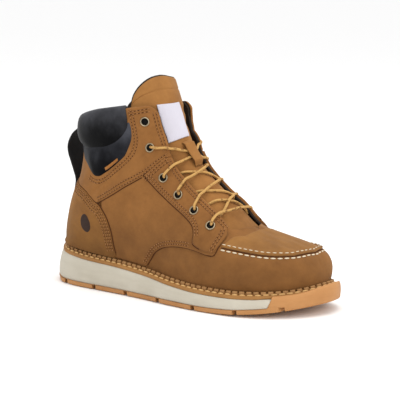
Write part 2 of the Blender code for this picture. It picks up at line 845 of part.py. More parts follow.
def build_upper(material):
    """Hollow upper: one wall from the feather line to the throat and the collar."""
    steps = upper_steps()
    bm = two_sided(steps, UPPER_COLUMNS, around, (0.0, -UPPER_WALL),
                   lambda s: s < HEEL_STEP - 1e-6, lambda s: s >= THROAT_START - 1e-6,
                   (0, len(steps) - 1))
    return add_object("upper", bm, material)


def quarter_surface(side):
    """Surface of the quarter overlay: a down from the flap's edge, b from front to back."""
    def surface(a, b, lift):
        front = look_up(QUARTER_COLUMNS, QUARTER, "front", a)
        back = look_up(QUARTER_COLUMNS, QUARTER, "back", a)
        s = front + (back - front) * b
        edge = flap_edge(s)
        return skin(s, side * (edge + (above_rib(s, side) - edge) * a), lift)
    return surface


def eyestay_surface(side):
    """Surface of the eyestay band: a from the throat's end up, b from the flap's edge back."""
    def surface(a, b, lift):
        first = EYESTAY[0][0]
        s = first + (EYESTAY[-1][0] - first) * a
        edge = flap_edge(s)
        back = look_up(EYESTAY_COLUMNS, EYESTAY, "back", s)
        return skin(s, side * (edge + (back - edge) * b), lift)
    return surface


def build_counter(material):
    """Heel counter: two legs above the rib that join over the back seam."""
    steps = sorted(list(np.linspace(COUNTER[0][0], COUNTER[-1][0], 12)) + [HEEL_STEP])

    def place(s, share, side):
        low = above_rib(s, side)
        edge = look_up(COUNTER_COLUMNS, COUNTER, "edge", s)
        return side * (low + (edge - low) * share)

    last = len(steps) - 1
    seam = [s for s in steps if s > HEEL_STEP and above_rib(s, 1) > 1.0 - 1e-9][0]
    low = OVERLAY_GAP + CLEARANCE
    bm = two_sided(steps, 6, place, (low, low + OVERLAY_THICKNESS),
                   lambda s: s < seam - 1e-6, lambda s: True, (0, last))
    return add_object("counter", bm, material)


def apron_surface(a, b, lift):
    """Surface of the apron: a from the toe back, b from the outer to the inner seam."""
    across = 2.0 * b - 1.0
    first = APRON[0][0]
    last = THROAT_START - 0.004
    if abs(across) > 0.5:
        last += (APRON[-1][0] - last) * ease((abs(across) - 0.5) / 0.2)
    s = first + (last - first) * a
    return skin(s, across * look_up(APRON_COLUMNS, APRON, "edge", s), lift)


def apron_top(a, b):
    """The apron's top: its edge stands up as the seam's ridge."""
    edge = min(1.0 - abs(2.0 * b - 1.0), 3.0 * a) * 9.0
    return OVERLAY_GAP + OVERLAY_THICKNESS * (0.8 + 0.9 * (1.0 - ease(edge)))


def beyond_collar(w, up, out):
    """Point past the collar's top edge: up along the wall, out square to it."""
    rise = skin_point(1.0, w) - skin_point(0.985, w)
    return skin_point(1.0, w) + rise / np.linalg.norm(rise) * up + skin_normal(1.0, w) * out


def roll_ring(bm, share, side):
    """Ring of the collar roll at one place round the collar."""
    low = look_up(ROLL_COLUMNS, ROLL, "low", share)
    inside = -UPPER_WALL
    drop = 1.0 - COLLAR_LINING_DROP / (100.0 * MM) * 0.42
    top = around(1.0, share, side)

    def on_wall(s, lift):
        return skin(s, around(s, share, side), lift)

    places = (
        on_wall(low, OVERLAY_GAP),
        on_wall(low + 0.004, 0.7 * COLLAR_PAD),
        on_wall(0.5 * (low + 0.97), COLLAR_PAD),
        on_wall(0.985, 0.9 * COLLAR_PAD),
        beyond_collar(top, 0.8 * COLLAR_LIP, 0.45 * COLLAR_PAD),
        beyond_collar(top, COLLAR_LIP, 0.5 * inside),
        beyond_collar(top, 0.8 * COLLAR_LIP, inside - 0.4 * COLLAR_PAD),
        on_wall(0.975, inside - 0.65 * COLLAR_PAD),
        on_wall(drop, inside - 0.5 * COLLAR_PAD),
        on_wall(drop, inside - OVERLAY_GAP),
        beyond_collar(top, OVERLAY_GAP, inside - OVERLAY_GAP),
        beyond_collar(top, OVERLAY_GAP, OVERLAY_GAP),
    )
    return [bm.verts.new(place) for place in places]


def build_collar_roll(material):
    """Padded roll over the collar's top edge, from flap to flap round the back."""
    bm = bmesh.new()
    shares = [k / UPPER_COLUMNS for k in range(int(ROLL[-1][0] * UPPER_COLUMNS) + 1)]
    shares.append(ROLL[-1][0])
    rings = [roll_ring(bm, share, -1) for share in reversed(shares)]
    rings += [roll_ring(bm, share, 1) for share in shares[1:]]
    for lower, upper in zip(rings, rings[1:]):
        join_rings(bm, lower, upper)
    bm.faces.new(rings[0])
    bm.faces.new(rings[-1])
    return add_object("collar_roll", bm, material, 50.0)


def pad_surface(side):
    """Surface of a collar pad: a from its lower to its upper edge, b from back to front."""
    def surface(a, b, lift):
        low_s = look_up(PAD_COLUMNS, PAD, "low_s", b)
        low_w = look_up(PAD_COLUMNS, PAD, "low_w", b)
        s = low_s + (look_up(PAD_COLUMNS, PAD, "top_s", b) - low_s) * a
        w = low_w + (look_up(PAD_COLUMNS, PAD, "top_w", b) - low_w) * a
        return skin(s, side * w, lift)
    return surface


def pad_top(a, b):
    """The pad's pillow."""
    bulge = (math.sin(math.pi * min(max(a, 0.0), 1.0)) * math.sin(math.pi * b)) ** 0.6
    return OVERLAY_GAP + 1.0 * MM + (COLLAR_PAD - 1.4 * MM) * bulge


def build_collar_tag(material):
    """Small bare leather tag sewn on the lower edge of the outer collar pad."""
    outer_pad = pad_surface(-1)

    def surface(a, b, lift):
        up = 0.10 + 0.26 * a
        along = 0.52 + 0.26 * b
        return outer_pad(up, along, pad_top(up, along) + lift)

    bm = sheet(2, 4, surface, OVERLAY_GAP, OVERLAY_GAP + 0.9 * MM)
    return add_object("collar_tag", bm, material)


def tongue_surface(step, reach, lift):
    """The tongue's outer surface: step is s up to the collar and runs on past it."""
    inner = lift - UPPER_WALL - TONGUE_GAP
    point = at_reach(min(step, 1.0), reach, inner)
    if step > 1.0:
        past = (step - 1.0) / TONGUE_PAST
        fall = TONGUE_CORNER * abs(reach / TONGUE_HALF_WIDTH) ** 3
        point = point + np.array([-TONGUE_LEAN * past, 0.0, (TONGUE_RISE - fall) * past])
    return point


def build_tongue(material):
    """Tongue from under the vamp to its free top above the collar."""
    first = THROAT_START - 0.022
    last = 1.0 + TONGUE_PAST

    def surface(a, b, lift):
        step = first + (last - first) * a
        width = TONGUE_HALF_WIDTH * (0.80 + 0.20 * ease(2.0 * a))
        return tongue_surface(step, width * (2.0 * b - 1.0), lift)

    return add_object("tongue", sheet(18, 8, surface, -TONGUE_THICKNESS, 0.0), material)


def build_tongue_label(material):
    """Bare woven label on the tongue's upper part, a little to the outer side."""
    def surface(a, b, lift):
        low = LABEL_LOW + 0.035 * (1.0 - b)
        step = low + (LABEL_TOP - low) * a
        return tongue_surface(step, LABEL_OUTER + (LABEL_INNER - LABEL_OUTER) * b, lift)

    bm = sheet(4, 4, surface, OVERLAY_GAP, OVERLAY_GAP + 0.8 * MM)
    return add_object("tongue_label", bm, material)


def build_keeper(material):
    """Leather strip on the tongue that the laces pass under."""
    def surface(a, b, lift):
        step = KEEPER_LOW + (KEEPER_TOP - KEEPER_LOW) * a
        return tongue_surface(step, KEEPER_HALF_WIDTH * (2.0 * b - 1.0), lift)

    def low(a, b):
        arch = ease(8.0 * min(a, 1.0 - a))
        return OVERLAY_GAP + (LACE_DIAMETER + 4.6 * CLEARANCE) * arch

    def high(a, b):
        return low(a, b) + 1.3 * MM

    return add_object("lace_keeper", sheet(10, 2, surface, low, high), material)


def build_pull_loop(material):
    """Webbing loop at the back seam, held at the collar roll and low on the shaft."""
    path = []
    for s, lift in LOOP_PATH:
        path.append(skin(s, 1.0, lift * MM))
    bm = bmesh.new()
    rings = []
    for k, point in enumerate(path):
        ahead = path[min(k + 1, len(path) - 1)] - path[max(k - 1, 0)]
        out = np.array([ahead[2], 0.0, -ahead[0]])
        out = out / np.linalg.norm(out) * 0.5 * LOOP_THICKNESS
        half = np.array([0.0, 0.5 * LOOP_WIDTH, 0.0])
        rings.append([bm.verts.new(point + out * u + half * v)
                      for u, v in ((-1, -1), (-1, 1), (1, 1), (1, -1))])
    for lower, upper in zip(rings, rings[1:]):
        join_rings(bm, lower, upper)
    bm.faces.new(rings[0])
    bm.faces.new(rings[-1])
    return add_object("pull_loop", bm, material)


# Eyelets and laces

def eyelet_frame(index, side):
    """Place on the skin and outward axis of an eyelet."""
    step, reach, seat = EYELETS[index]
    w = side * reach * MM / half_girth(step, side)
    return skin_point(step, w), skin_normal(step, w), seat * MM


def turned(bm, place, axis, profile, sides):
    """Closed ring turned round an axis from (radius, height) places."""
    axis = axis / np.linalg.norm(axis)
    across = np.cross(axis, np.array([0.0, 1.0, 0.3]))
    across = across / np.linalg.norm(across)
    other = np.cross(axis, across)
    rings = []
    for n in range(sides):
        turn = 2.0 * math.pi * n / sides
        out = across * math.cos(turn) + other * math.sin(turn)
        rings.append([bm.verts.new(place + out * radius + axis * height)
                      for radius, height in profile])
    for k in range(sides):
        join_rings(bm, rings[k], rings[(k + 1) % sides])


def build_eyelet(name, index, side, material):
    """Metal eyelet: a barrel through the leather and a rounded flange on top."""
    place, axis, seat = eyelet_frame(index, side)
    top = seat + CLEARANCE
    bore = EYELET_HOLE - 0.5 * MM
    profile = (
        (bore, -UPPER_WALL - 0.3 * MM),
        (EYELET_HOLE, -UPPER_WALL - 0.3 * MM),
        (EYELET_HOLE, top),
        (EYELET_RADIUS, top),
        (EYELET_RADIUS - 0.7 * MM, top + EYELET_HEIGHT),
        (bore + 0.5 * MM, top + EYELET_HEIGHT),
    )
    bm = bmesh.new()
    turned(bm, place, axis, profile, 8)
    return add_object(name, bm, material)


def build_hole_cutter(name, side, indexes):
    """Cutter with one pin for each eyelet hole of a side."""
    bm = bmesh.new()
    for index in indexes:
        place, axis = eyelet_frame(index, side)[:2]
        pin = tube((place - axis * 7.0 * MM, place + axis * 8.0 * MM),
                   EYELET_HOLE + 0.85 * MM, 6)
        mesh = bpy.data.meshes.new(name)
        pin.to_mesh(mesh)
        pin.free()
        bm.from_mesh(mesh)
        bpy.data.meshes.remove(mesh)
    return add_cutter(name, bm)


def over_flap(index, side, end_step, end_reach):
    """Lace from on top of an eyelet, over the flap's edge and down on the tongue."""
    step, reach, seat = EYELETS[index]
    radius = 0.5 * LACE_DIAMETER
    on_eyelet = seat * MM + EYELET_HEIGHT + 5.0 * CLEARANCE + radius
    on_edge = seat * MM + radius + 2.0 * CLEARANCE
    gap = THROAT_HALF_GAP
    low = lace_low()
    start = side * reach * MM
    places = (
        (0.00, start, on_eyelet),
        (0.16, side * (reach * MM - 6.0 * MM), on_eyelet),
        (0.34, side * (gap + 2.0 * MM), on_edge),
        (0.42, side * (gap - 2.2 * MM), on_edge - 0.6 * MM),
        (0.52, side * (gap - 7.5 * MM), 0.35 * on_edge),
        (0.62, side * (gap - 12.5 * MM), low + 0.25 * MM),
    )
    points = [at_reach(step + (end_step - step) * share, at, lift) for share, at, lift in places]
    if abs(end_reach) < 1.0 * MM:
        points.append(at_reach(step + (end_step - step) * 0.8, side * 5.0 * MM, low))
    else:
        points.append(at_reach(step + (end_step - step) * 0.74, side * 4.0 * MM, low))
        points.append(at_reach(step + (end_step - step) * 0.86, -side * 8.0 * MM, low))
    points.append(at_reach(end_step, end_reach, low))
    return points


def lace_low():
    """Height of a lace's middle line where it lies on the tongue."""
    return 0.5 * LACE_DIAMETER + 4.0 * CLEARANCE - UPPER_WALL - TONGUE_GAP


def joined_laces(name, first, second, material):
    """Two strands that meet, as one solid."""
    radius = 0.5 * LACE_DIAMETER
    strand = add_object(name, tube(first, radius), material)
    cut(strand, add_cutter(name + "_under", tube(second, radius)), "UNION")
    return strand


def build_laces(material):
    """Bottom bar, the crossings above it and the two strands held by the keeper."""
    end = THROAT_HALF_GAP - 2.6 * MM
    low = lace_low()
    bar = over_flap(5, -1, 0.352, 0.0)
    mirror = over_flap(5, 1, 0.352, 0.0)
    bar_points = bar + mirror[-2::-1]
    add_object("lace_bottom_bar", tube(bar_points, 0.5 * LACE_DIAMETER), material)
    strands = []
    for side in (-1, 1):
        places = ((0.378, side * end), (0.384, side * 8.0 * MM), (0.390, -side * 8.0 * MM),
                  (0.396, -side * end))
        strands.append([at_reach(s, at, low) for s, at in places])
    joined_laces("lace_cross_low", strands[0], strands[1], material)
    for index, name in ((4, "lace_cross_middle"), (3, "lace_cross_high")):
        above = EYELETS[index - 1][0] - 0.020
        joined_laces(name, over_flap(index, -1, above, end), over_flap(index, 1, above, -end),
                     material)
    for index, name, middle in ((2, "lace_kept_low", 0.528), (1, "lace_kept_high", 0.548)):
        near = over_flap(index, -1, middle, 0.0)
        far = over_flap(index, 1, middle, 0.0)
        add_object(name, tube(near + far[-2::-1], 0.5 * LACE_DIAMETER), material)


# Build

def clear_scene():
    """Remove every object of the scene."""
    for thing in list(bpy.data.objects):
        bpy.data.objects.remove(thing, do_unlink=True)


clear_scene()
CUTTER_MATERIAL = make_material("cutter", (0.5, 0.5, 0.5), 0.5)


def main():
    """Build every piece."""
    gum = make_material("gum_rubber", (0.50, 0.27, 0.10), 0.55)
    cream = make_material("cream_foam", (0.72, 0.66, 0.54), 0.6)
    welt = make_material("welt_rubber", (0.55, 0.34, 0.13), 0.55)
    nubuck = make_material("nubuck", (0.32, 0.16, 0.045), 0.8)
    lining = make_material("insole_fabric", (0.05, 0.05, 0.05), 0.9)
    collar = make_material("collar_leather", (0.02, 0.018, 0.016), 0.4)
    tongue = make_material("tongue_leather", (0.40, 0.21, 0.06), 0.75)
    woven = make_material("label_fabric", (0.80, 0.79, 0.76), 0.8)
    webbing = make_material("loop_webbing", (0.03, 0.028, 0.026), 0.85)
    brass = make_material("eyelet_brass", (0.45, 0.30, 0.13), 0.4, 1.0)
    cord = make_material("lace_cord", (0.50, 0.30, 0.07), 0.8)

    build_outsole(gum)
    build_midsole(cream)
    build_welt(welt)
    build_insole(lining)
    upper = build_upper(nubuck)
    build_counter(nubuck)
    bm = sheet(9, 10, apron_surface, OVERLAY_GAP, apron_top)
    add_object("apron", bm, nubuck)
    build_collar_roll(collar)
    build_tongue(tongue)
    build_tongue_label(woven)
    build_keeper(tongue)
    build_pull_loop(webbing)
    for side, name in ((-1, "outer"), (1, "inner")):
        every = build_hole_cutter("holes_" + name, side, range(len(EYELETS)))
        bm = sheet(9, 9, quarter_surface(side), OVERLAY_GAP, OVERLAY_GAP + OVERLAY_THICKNESS)
        quarter = add_object("quarter_" + name, bm, nubuck)
        bm = sheet(11, 3, eyestay_surface(side), EYESTAY_LIFT, STACK_TOP)
        eyestay = add_object("eyestay_" + name, bm, nubuck)
        for thing in (upper, quarter, eyestay):
            cut(thing, every)
        bm = sheet(5, 7, pad_surface(side), OVERLAY_GAP, pad_top)
        add_object("collar_pad_" + name, bm, collar)
        for index in range(len(EYELETS)):
            build_eyelet("eyelet_%s_%d" % (name, index + 1), index, side, brass)
    build_collar_tag(nubuck)
    build_laces(cord)


main()
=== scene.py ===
"""Wedge sole work boot: the looks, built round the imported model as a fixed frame.

Everything is in metres in the boot's own frame: +X to the toe, +Y to the inner side, +Z up.
Every leather piece is laid out on one skin, the boot's last, with two numbers:
s runs from the toe tip (0) to the collar's top line (1), and w from the outer bottom edge
(-1) over the front ridge (0) to the inner bottom edge (+1).
"""

import logging
import math
from dataclasses import dataclass, field
from enum import Enum
from typing import Callable, Iterable, Optional, Sequence, Union

import bmesh
import bpy
import numpy as np
from mathutils import Matrix, Vector


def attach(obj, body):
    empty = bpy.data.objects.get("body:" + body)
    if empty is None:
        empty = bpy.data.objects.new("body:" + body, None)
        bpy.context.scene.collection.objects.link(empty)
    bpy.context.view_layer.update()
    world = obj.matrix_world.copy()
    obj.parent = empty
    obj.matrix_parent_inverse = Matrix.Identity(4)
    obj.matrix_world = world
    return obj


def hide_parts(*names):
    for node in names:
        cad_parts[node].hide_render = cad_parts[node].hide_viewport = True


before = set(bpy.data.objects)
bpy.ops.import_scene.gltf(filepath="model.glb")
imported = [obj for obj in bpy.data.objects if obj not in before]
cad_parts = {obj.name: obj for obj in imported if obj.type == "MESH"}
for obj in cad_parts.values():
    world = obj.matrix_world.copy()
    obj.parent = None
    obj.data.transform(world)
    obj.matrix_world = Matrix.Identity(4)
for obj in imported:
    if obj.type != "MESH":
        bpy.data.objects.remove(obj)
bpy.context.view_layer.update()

MM = 0.001
LOG = logging.getLogger("boot")
Array = np.ndarray
Place = Callable[[Array, Array], tuple[Array, Array]]


class Side(Enum):
    """The two sides of the boot, with the sign of w and of Y."""

    OUTER = -1
    INNER = 1


class Thread(Enum):
    """The threads of the seams."""

    TONAL = "tonal_thread"
    CREAM = "cream_thread"
    GOLD = "gold_thread"


# Shader tools

class Signal:
    """A shader value that takes part in Python expressions."""

    def __init__(self, paint: "Paint", socket: bpy.types.NodeSocket) -> None:
        """Keep the socket and the material it belongs to.

        Args:
            paint: the material under construction.
            socket: an output socket that carries a number.
        """
        self.paint = paint
        self.socket = socket

    def math(self, operation: str, *others: Union["Signal", float]) -> "Signal":
        """Join this value with others through a Math node.

        Args:
            operation: name of the Math node's operation.
            others: the other operands.

        Returns:
            The result as a new value.
        """
        node = self.paint.node("ShaderNodeMath", {"operation": operation},
                               dict(enumerate((self, *others))))
        return Signal(self.paint, node.outputs[0])

    def __add__(self, other: Union["Signal", float]) -> "Signal":
        """Sum."""
        return self.math("ADD", other)

    __radd__ = __add__

    def __sub__(self, other: Union["Signal", float]) -> "Signal":
        """Difference."""
        return self.math("SUBTRACT", other)

    def __mul__(self, other: Union["Signal", float]) -> "Signal":
        """Product."""
        return self.math("MULTIPLY", other)

    __rmul__ = __mul__

    def wave(self) -> "Signal":
        """Sine of the value."""
        return self.math("SINE")

    def clamped(self) -> "Signal":
        """The value held between 0 and 1."""
        return self.math("MINIMUM", 1.0).math("MAXIMUM", 0.0)


Color = tuple[float, float, float]


class Paint:
    """One material under construction."""

    def __init__(self, name: str) -> None:
        """Start a material with its shader and output.

        Args:
            name: the material's name.
        """
        self.material = bpy.data.materials.new(name)
        self.material.use_nodes = True
        self.tree = self.material.node_tree
        self.shader = self.tree.nodes["Principled BSDF"]

    def node(self, kind: str, settings: Optional[dict] = None,
             sockets: Optional[dict] = None) -> bpy.types.Node:
        """Add a node.

        Args:
            kind: the node's type.
            settings: attributes that are set before its sockets.
            sockets: values or links by socket name or number.

        Returns:
            The new node.
        """
        node = self.tree.nodes.new(kind)
        for key, value in (settings or {}).items():
            setattr(node, key, value)
        for key, value in (sockets or {}).items():
            self.feed(node.inputs[key], value)
        return node

    def feed(self, socket: bpy.types.NodeSocket, value: object) -> None:
        """Give a socket a link or a value.

        Args:
            socket: the input socket.
            value: a Signal, an output socket, a number or a colour.
        """
        if isinstance(value, Signal):
            self.tree.links.new(value.socket, socket)
        elif isinstance(value, bpy.types.NodeSocket):
            self.tree.links.new(value, socket)
        elif isinstance(value, tuple) and len(value) == 3 and socket.type == "RGBA":
            socket.default_value = (*value, 1.0)
        else:
            socket.default_value = value

    def place(self) -> bpy.types.NodeSocket:
        """Object coordinates."""
        return self.node("ShaderNodeTexCoord").outputs["Object"]

    def axis(self, name: str) -> Signal:
        """One of the object coordinates X, Y or Z."""
        split = self.node("ShaderNodeSeparateXYZ", None, {0: self.place()})
        return Signal(self, split.outputs[name])

    def layout(self) -> tuple[Signal, Signal]:
        """The piece's own layout: millimetres across and along."""
        uv = self.node("ShaderNodeUVMap", {"uv_map": "UVMap"}).outputs["UV"]
        split = self.node("ShaderNodeSeparateXYZ", None, {0: uv})
        return Signal(self, split.outputs["X"]), Signal(self, split.outputs["Y"])

    def noise(self, size: float, detail: float = 3.0, rough: float = 0.55,
              stretch: Optional[tuple[float, float, float]] = None) -> Signal:
        """Noise whose blotches have about the given size.

        Args:
            size: blotch size in metres.
            detail: number of octaves.
            rough: weight of the finer octaves.
            stretch: scale of the coordinates, if it is not the same all ways.

        Returns:
            The noise value, about 0.5 on average.
        """
        where = self.place()
        if stretch is not None:
            where = self.node("ShaderNodeMapping", None, {"Vector": where,
                                                          "Scale": stretch}).outputs[0]
        node = self.node("ShaderNodeTexNoise", None,
                         {"Vector": where, "Scale": 1.0 / size, "Detail": detail,
                          "Roughness": rough})
        return Signal(self, node.outputs["Fac"])

    def grain(self, size: float) -> Signal:
        """Cell pattern of leather pores."""
        node = self.node("ShaderNodeTexVoronoi", {"feature": "F1"},
                         {"Vector": self.place(), "Scale": 1.0 / size})
        return Signal(self, node.outputs["Distance"])

    def mix(self, share: Union[Signal, float], first: object,
            second: object) -> bpy.types.NodeSocket:
        """Mix two colours by a share."""
        node = self.node("ShaderNodeMix", {"data_type": "RGBA"}, {0: share, 6: first, 7: second})
        return node.outputs[2]

    def bump(self, height: Signal, distance: float, strength: float = 1.0) -> None:
        """Feed the shader's normal with a height.

        Args:
            height: height value, 0 to 1.
            distance: how far a height of 1 stands up, in metres.
            strength: share of the bump that is used.
        """
        node = self.node("ShaderNodeBump", None, {"Strength": strength, "Distance": distance,
                                                  "Height": height})
        self.feed(self.shader.inputs["Normal"], node.outputs[0])

    def set(self, **values: object) -> bpy.types.Material:
        """Feed the shader's sockets, with underscores for spaces in their names.

        Args:
            values: socket names with underscores, and what feeds them.

        Returns:
            The finished material.
        """
        for key, value in values.items():
            self.feed(self.shader.inputs[key.replace("_", " ")], value)
        return self.material


# Finishes

@dataclass(frozen=True)
class Nubuck:
    """Brushed leather with a soft nap, cloudy in colour, with painted shade that darkens it near the
    sole.
    """

    name: str
    light: Color
    dark: Color
    # Share of its colour that the leather keeps at the sole under the painted shade
    painted_shade_factor: float = 0.72

    def material(self) -> bpy.types.Material:
        """Build the material."""
        paint = Paint(self.name)
        cloud = paint.noise(0.042, 4.0, 0.6)
        mottle = paint.noise(0.011, 3.0, 0.6)
        rubbed = paint.noise(0.0036, 2.0)
        tone = ((cloud - 0.5) * 2.1 + (mottle - 0.5) * 0.9 + (rubbed - 0.5) * 0.35 + 0.5).clamped()
        # Painted shade: between about 9 cm and 3 cm above the ground the colour darkens towards the
        # sole, down to the shade factor times its own value
        low = tuple(self.painted_shade_factor * value for value in self.dark)
        light_in_painted_shade = tuple(self.painted_shade_factor * value for value in self.light)
        climb = ((paint.axis("Z") - 0.030) * 16.0).clamped()
        color = paint.mix(tone, paint.mix(climb, low, self.dark),
                          paint.mix(climb, light_in_painted_shade, self.light))
        nap = paint.noise(0.00085, 2.0, 0.7)
        strands = paint.noise(0.0022, 3.0, 0.7, (1.0, 1.0, 0.55))
        paint.bump(nap * 0.45 + strands * 0.55 + mottle * 0.9, 0.00022, 0.8)
        return paint.set(Base_Color=color, Roughness=(tone * 0.14 + 0.70), Sheen_Weight=0.08,
                         Sheen_Roughness=0.45, Sheen_Tint=(1.0, 0.82, 0.55),
                         Specular_IOR_Level=0.12)


@dataclass(frozen=True)
class SmoothLeather:
    """Smooth padded leather with fine pores, softly glossy, paler on its upper swell from a painted
    highlight and darker below from painted shade.
    """

    name: str
    # dark is the painted shade low down and light the painted highlight high up; low and high are
    # the heights in metres between which the colour runs from one to the other
    dark: Color
    light: Color
    low: float
    high: float
    rough: float = 0.40

    def material(self) -> bpy.types.Material:
        """Build the material."""
        paint = Paint(self.name)
        pores = paint.grain(0.0011)
        soft = paint.noise(0.016, 3.0)
        # Painted light: the colour climbs with height from the painted shade to the painted
        # highlight, with some noise
        climb = (paint.axis("Z") - self.low) * (1.0 / (self.high - self.low))
        tone = (climb + (soft - 0.5) * 0.8).clamped()
        color = paint.mix(tone * tone, self.dark, self.light)
        paint.bump(pores * 0.5 + soft * 1.5, 0.00018, 0.6)
        return paint.set(Base_Color=color, Roughness=soft * 0.12 + (self.rough - 0.06),
                         Specular_IOR_Level=0.05)


@dataclass(frozen=True)
class Rubber:
    """Moulded rubber or foam, faintly uneven."""

    name: str
    color: Color
    shade: Color
    rough: float = 0.55
    speckle: float = 0.0006

    def material(self) -> bpy.types.Material:
        """Build the material."""
        paint = Paint(self.name)
        cloud = paint.noise(0.030, 4.0)
        streak = paint.noise(0.006, 3.0, 0.6, (0.25, 0.25, 1.6))
        speck = paint.noise(self.speckle, 2.0)
        tone = ((cloud - 0.5) * 1.6 + (streak - 0.5) * 0.8 + 0.62).clamped()
        color = paint.mix(tone, self.shade, self.color)
        paint.bump(speck * 0.5 + streak * 0.6, 0.00016, 0.7)
        return paint.set(Base_Color=color, Roughness=(speck - 0.5) * 0.2 + self.rough,
                         Specular_IOR_Level=0.2)


@dataclass(frozen=True)
class Woven:
    """Cloth whose weave follows the piece's own layout in millimetres."""

    name: str
    color: Color
    shade: Color
    pitch: float = 0.7
    rough: float = 0.85

    def material(self) -> bpy.types.Material:
        """Build the material."""
        paint = Paint(self.name)
        across, along = paint.layout()
        step = math.pi / self.pitch
        warp = (across * step).wave()
        weft = (along * step).wave()
        weave = warp * weft * 0.5 + 0.5
        soil = paint.noise(0.02, 3.0)
        tone = (weave * 0.55 + (soil - 0.5) * 0.6 + 0.3).clamped()
        color = paint.mix(tone, self.shade, self.color)
        paint.bump(weave + soil * 0.4, 0.00012, 0.8)
        return paint.set(Base_Color=color, Roughness=weave * 0.08 + (self.rough - 0.04),
                         Specular_IOR_Level=0.2)


@dataclass(frozen=True)
class Braid:
    """Round braided cord with random darker flecks, painted shade in the grooves between the strands
    and painted highlight on their crowns.
    """

    name: str
    color: Color
    fleck: Color
    pitch: float = 2.4

    def material(self) -> bpy.types.Material:
        """Build the material."""
        paint = Paint(self.name)
        around, along = paint.layout()
        twist = along * (2.0 * math.pi / self.pitch)
        turn = around * (2.0 * math.pi / 11.3)
        left = (twist + turn * 3.0).wave()
        right = (twist - turn * 3.0).wave()
        strand = left * right * 0.5 + 0.5
        fleck = ((paint.noise(0.0035, 2.0) - 0.56) * 9.0).clamped() * 0.75
        # Painted shade in the grooves between the strands and painted highlight on their crowns: the
        # colour falls to 0.55 of itself where the strand pattern is low
        tone = (strand * 0.7 + 0.35).clamped()
        plain = paint.mix(tone, tuple(0.55 * value for value in self.color), self.color)
        color = paint.mix(fleck, plain, self.fleck)
        paint.bump(strand, 0.00035, 0.8)
        return paint.set(Base_Color=color, Roughness=strand * 0.1 + 0.68, Specular_IOR_Level=0.25)


@dataclass(frozen=True)
class ThreadFinish:
    """Waxed thread."""

    name: str
    color: Color

    def material(self) -> bpy.types.Material:
        """Build the material."""
        paint = Paint(self.name)
        twist = paint.noise(0.0009, 2.0)
        color = paint.mix(twist, tuple(0.65 * value for value in self.color), self.color)
        paint.bump(twist, 0.0001, 0.7)
        return paint.set(Base_Color=color, Roughness=twist * 0.1 + 0.5, Specular_IOR_Level=0.35)


@dataclass(frozen=True)
class AgedBrass:
    """Aged brass with a browned, lightly scratched surface."""

    name: str
    color: Color
    tarnish: Color

    def material(self) -> bpy.types.Material:
        """Build the material."""
        paint = Paint(self.name)
        patch = paint.noise(0.003, 3.0)
        scratch = paint.noise(0.0005, 2.0)
        color = paint.mix(patch, self.color, self.tarnish)
        paint.bump(scratch, 0.00005, 0.5)
        return paint.set(Base_Color=color, Metallic=1.0, Roughness=patch * 0.2 + 0.26)


@dataclass(frozen=True)
class Plain:
    """Even matte surface with a slight grain."""

    name: str
    color: Color
    rough: float = 0.9

    def material(self) -> bpy.types.Material:
        """Build the material."""
        paint = Paint(self.name)
        grain = paint.noise(0.0014, 2.0)
        color = paint.mix(grain, tuple(0.85 * value for value in self.color), self.color)
        paint.bump(grain, 0.0001, 0.5)
        return paint.set(Base_Color=color, Roughness=self.rough, Specular_IOR_Level=0.15)


# The boot's form

OUTLINE = (
    (0.000, 0.010, 0.010), (0.025, -0.190, 0.215), (0.087, -0.318, 0.345),
    (0.177, -0.362, 0.373), (0.293, -0.380, 0.356), (0.427, -0.417, 0.364),
    (0.560, -0.474, 0.428), (0.670, -0.500, 0.482), (0.770, -0.490, 0.500),
    (0.850, -0.424, 0.484), (0.920, -0.300, 0.438), (0.973, -0.118, 0.328),
    (1.000, 0.105, 0.105),
)
PLATFORM = (
    (0.000, 1.00), (0.080, 0.83), (0.190, 0.64), (0.320, 0.53), (0.437, 0.37), (0.550, 0.14),
    (0.640, 0.03), (0.730, 0.00), (0.820, 0.03), (0.885, 0.09), (0.935, 0.18), (1.000, 0.50),
)
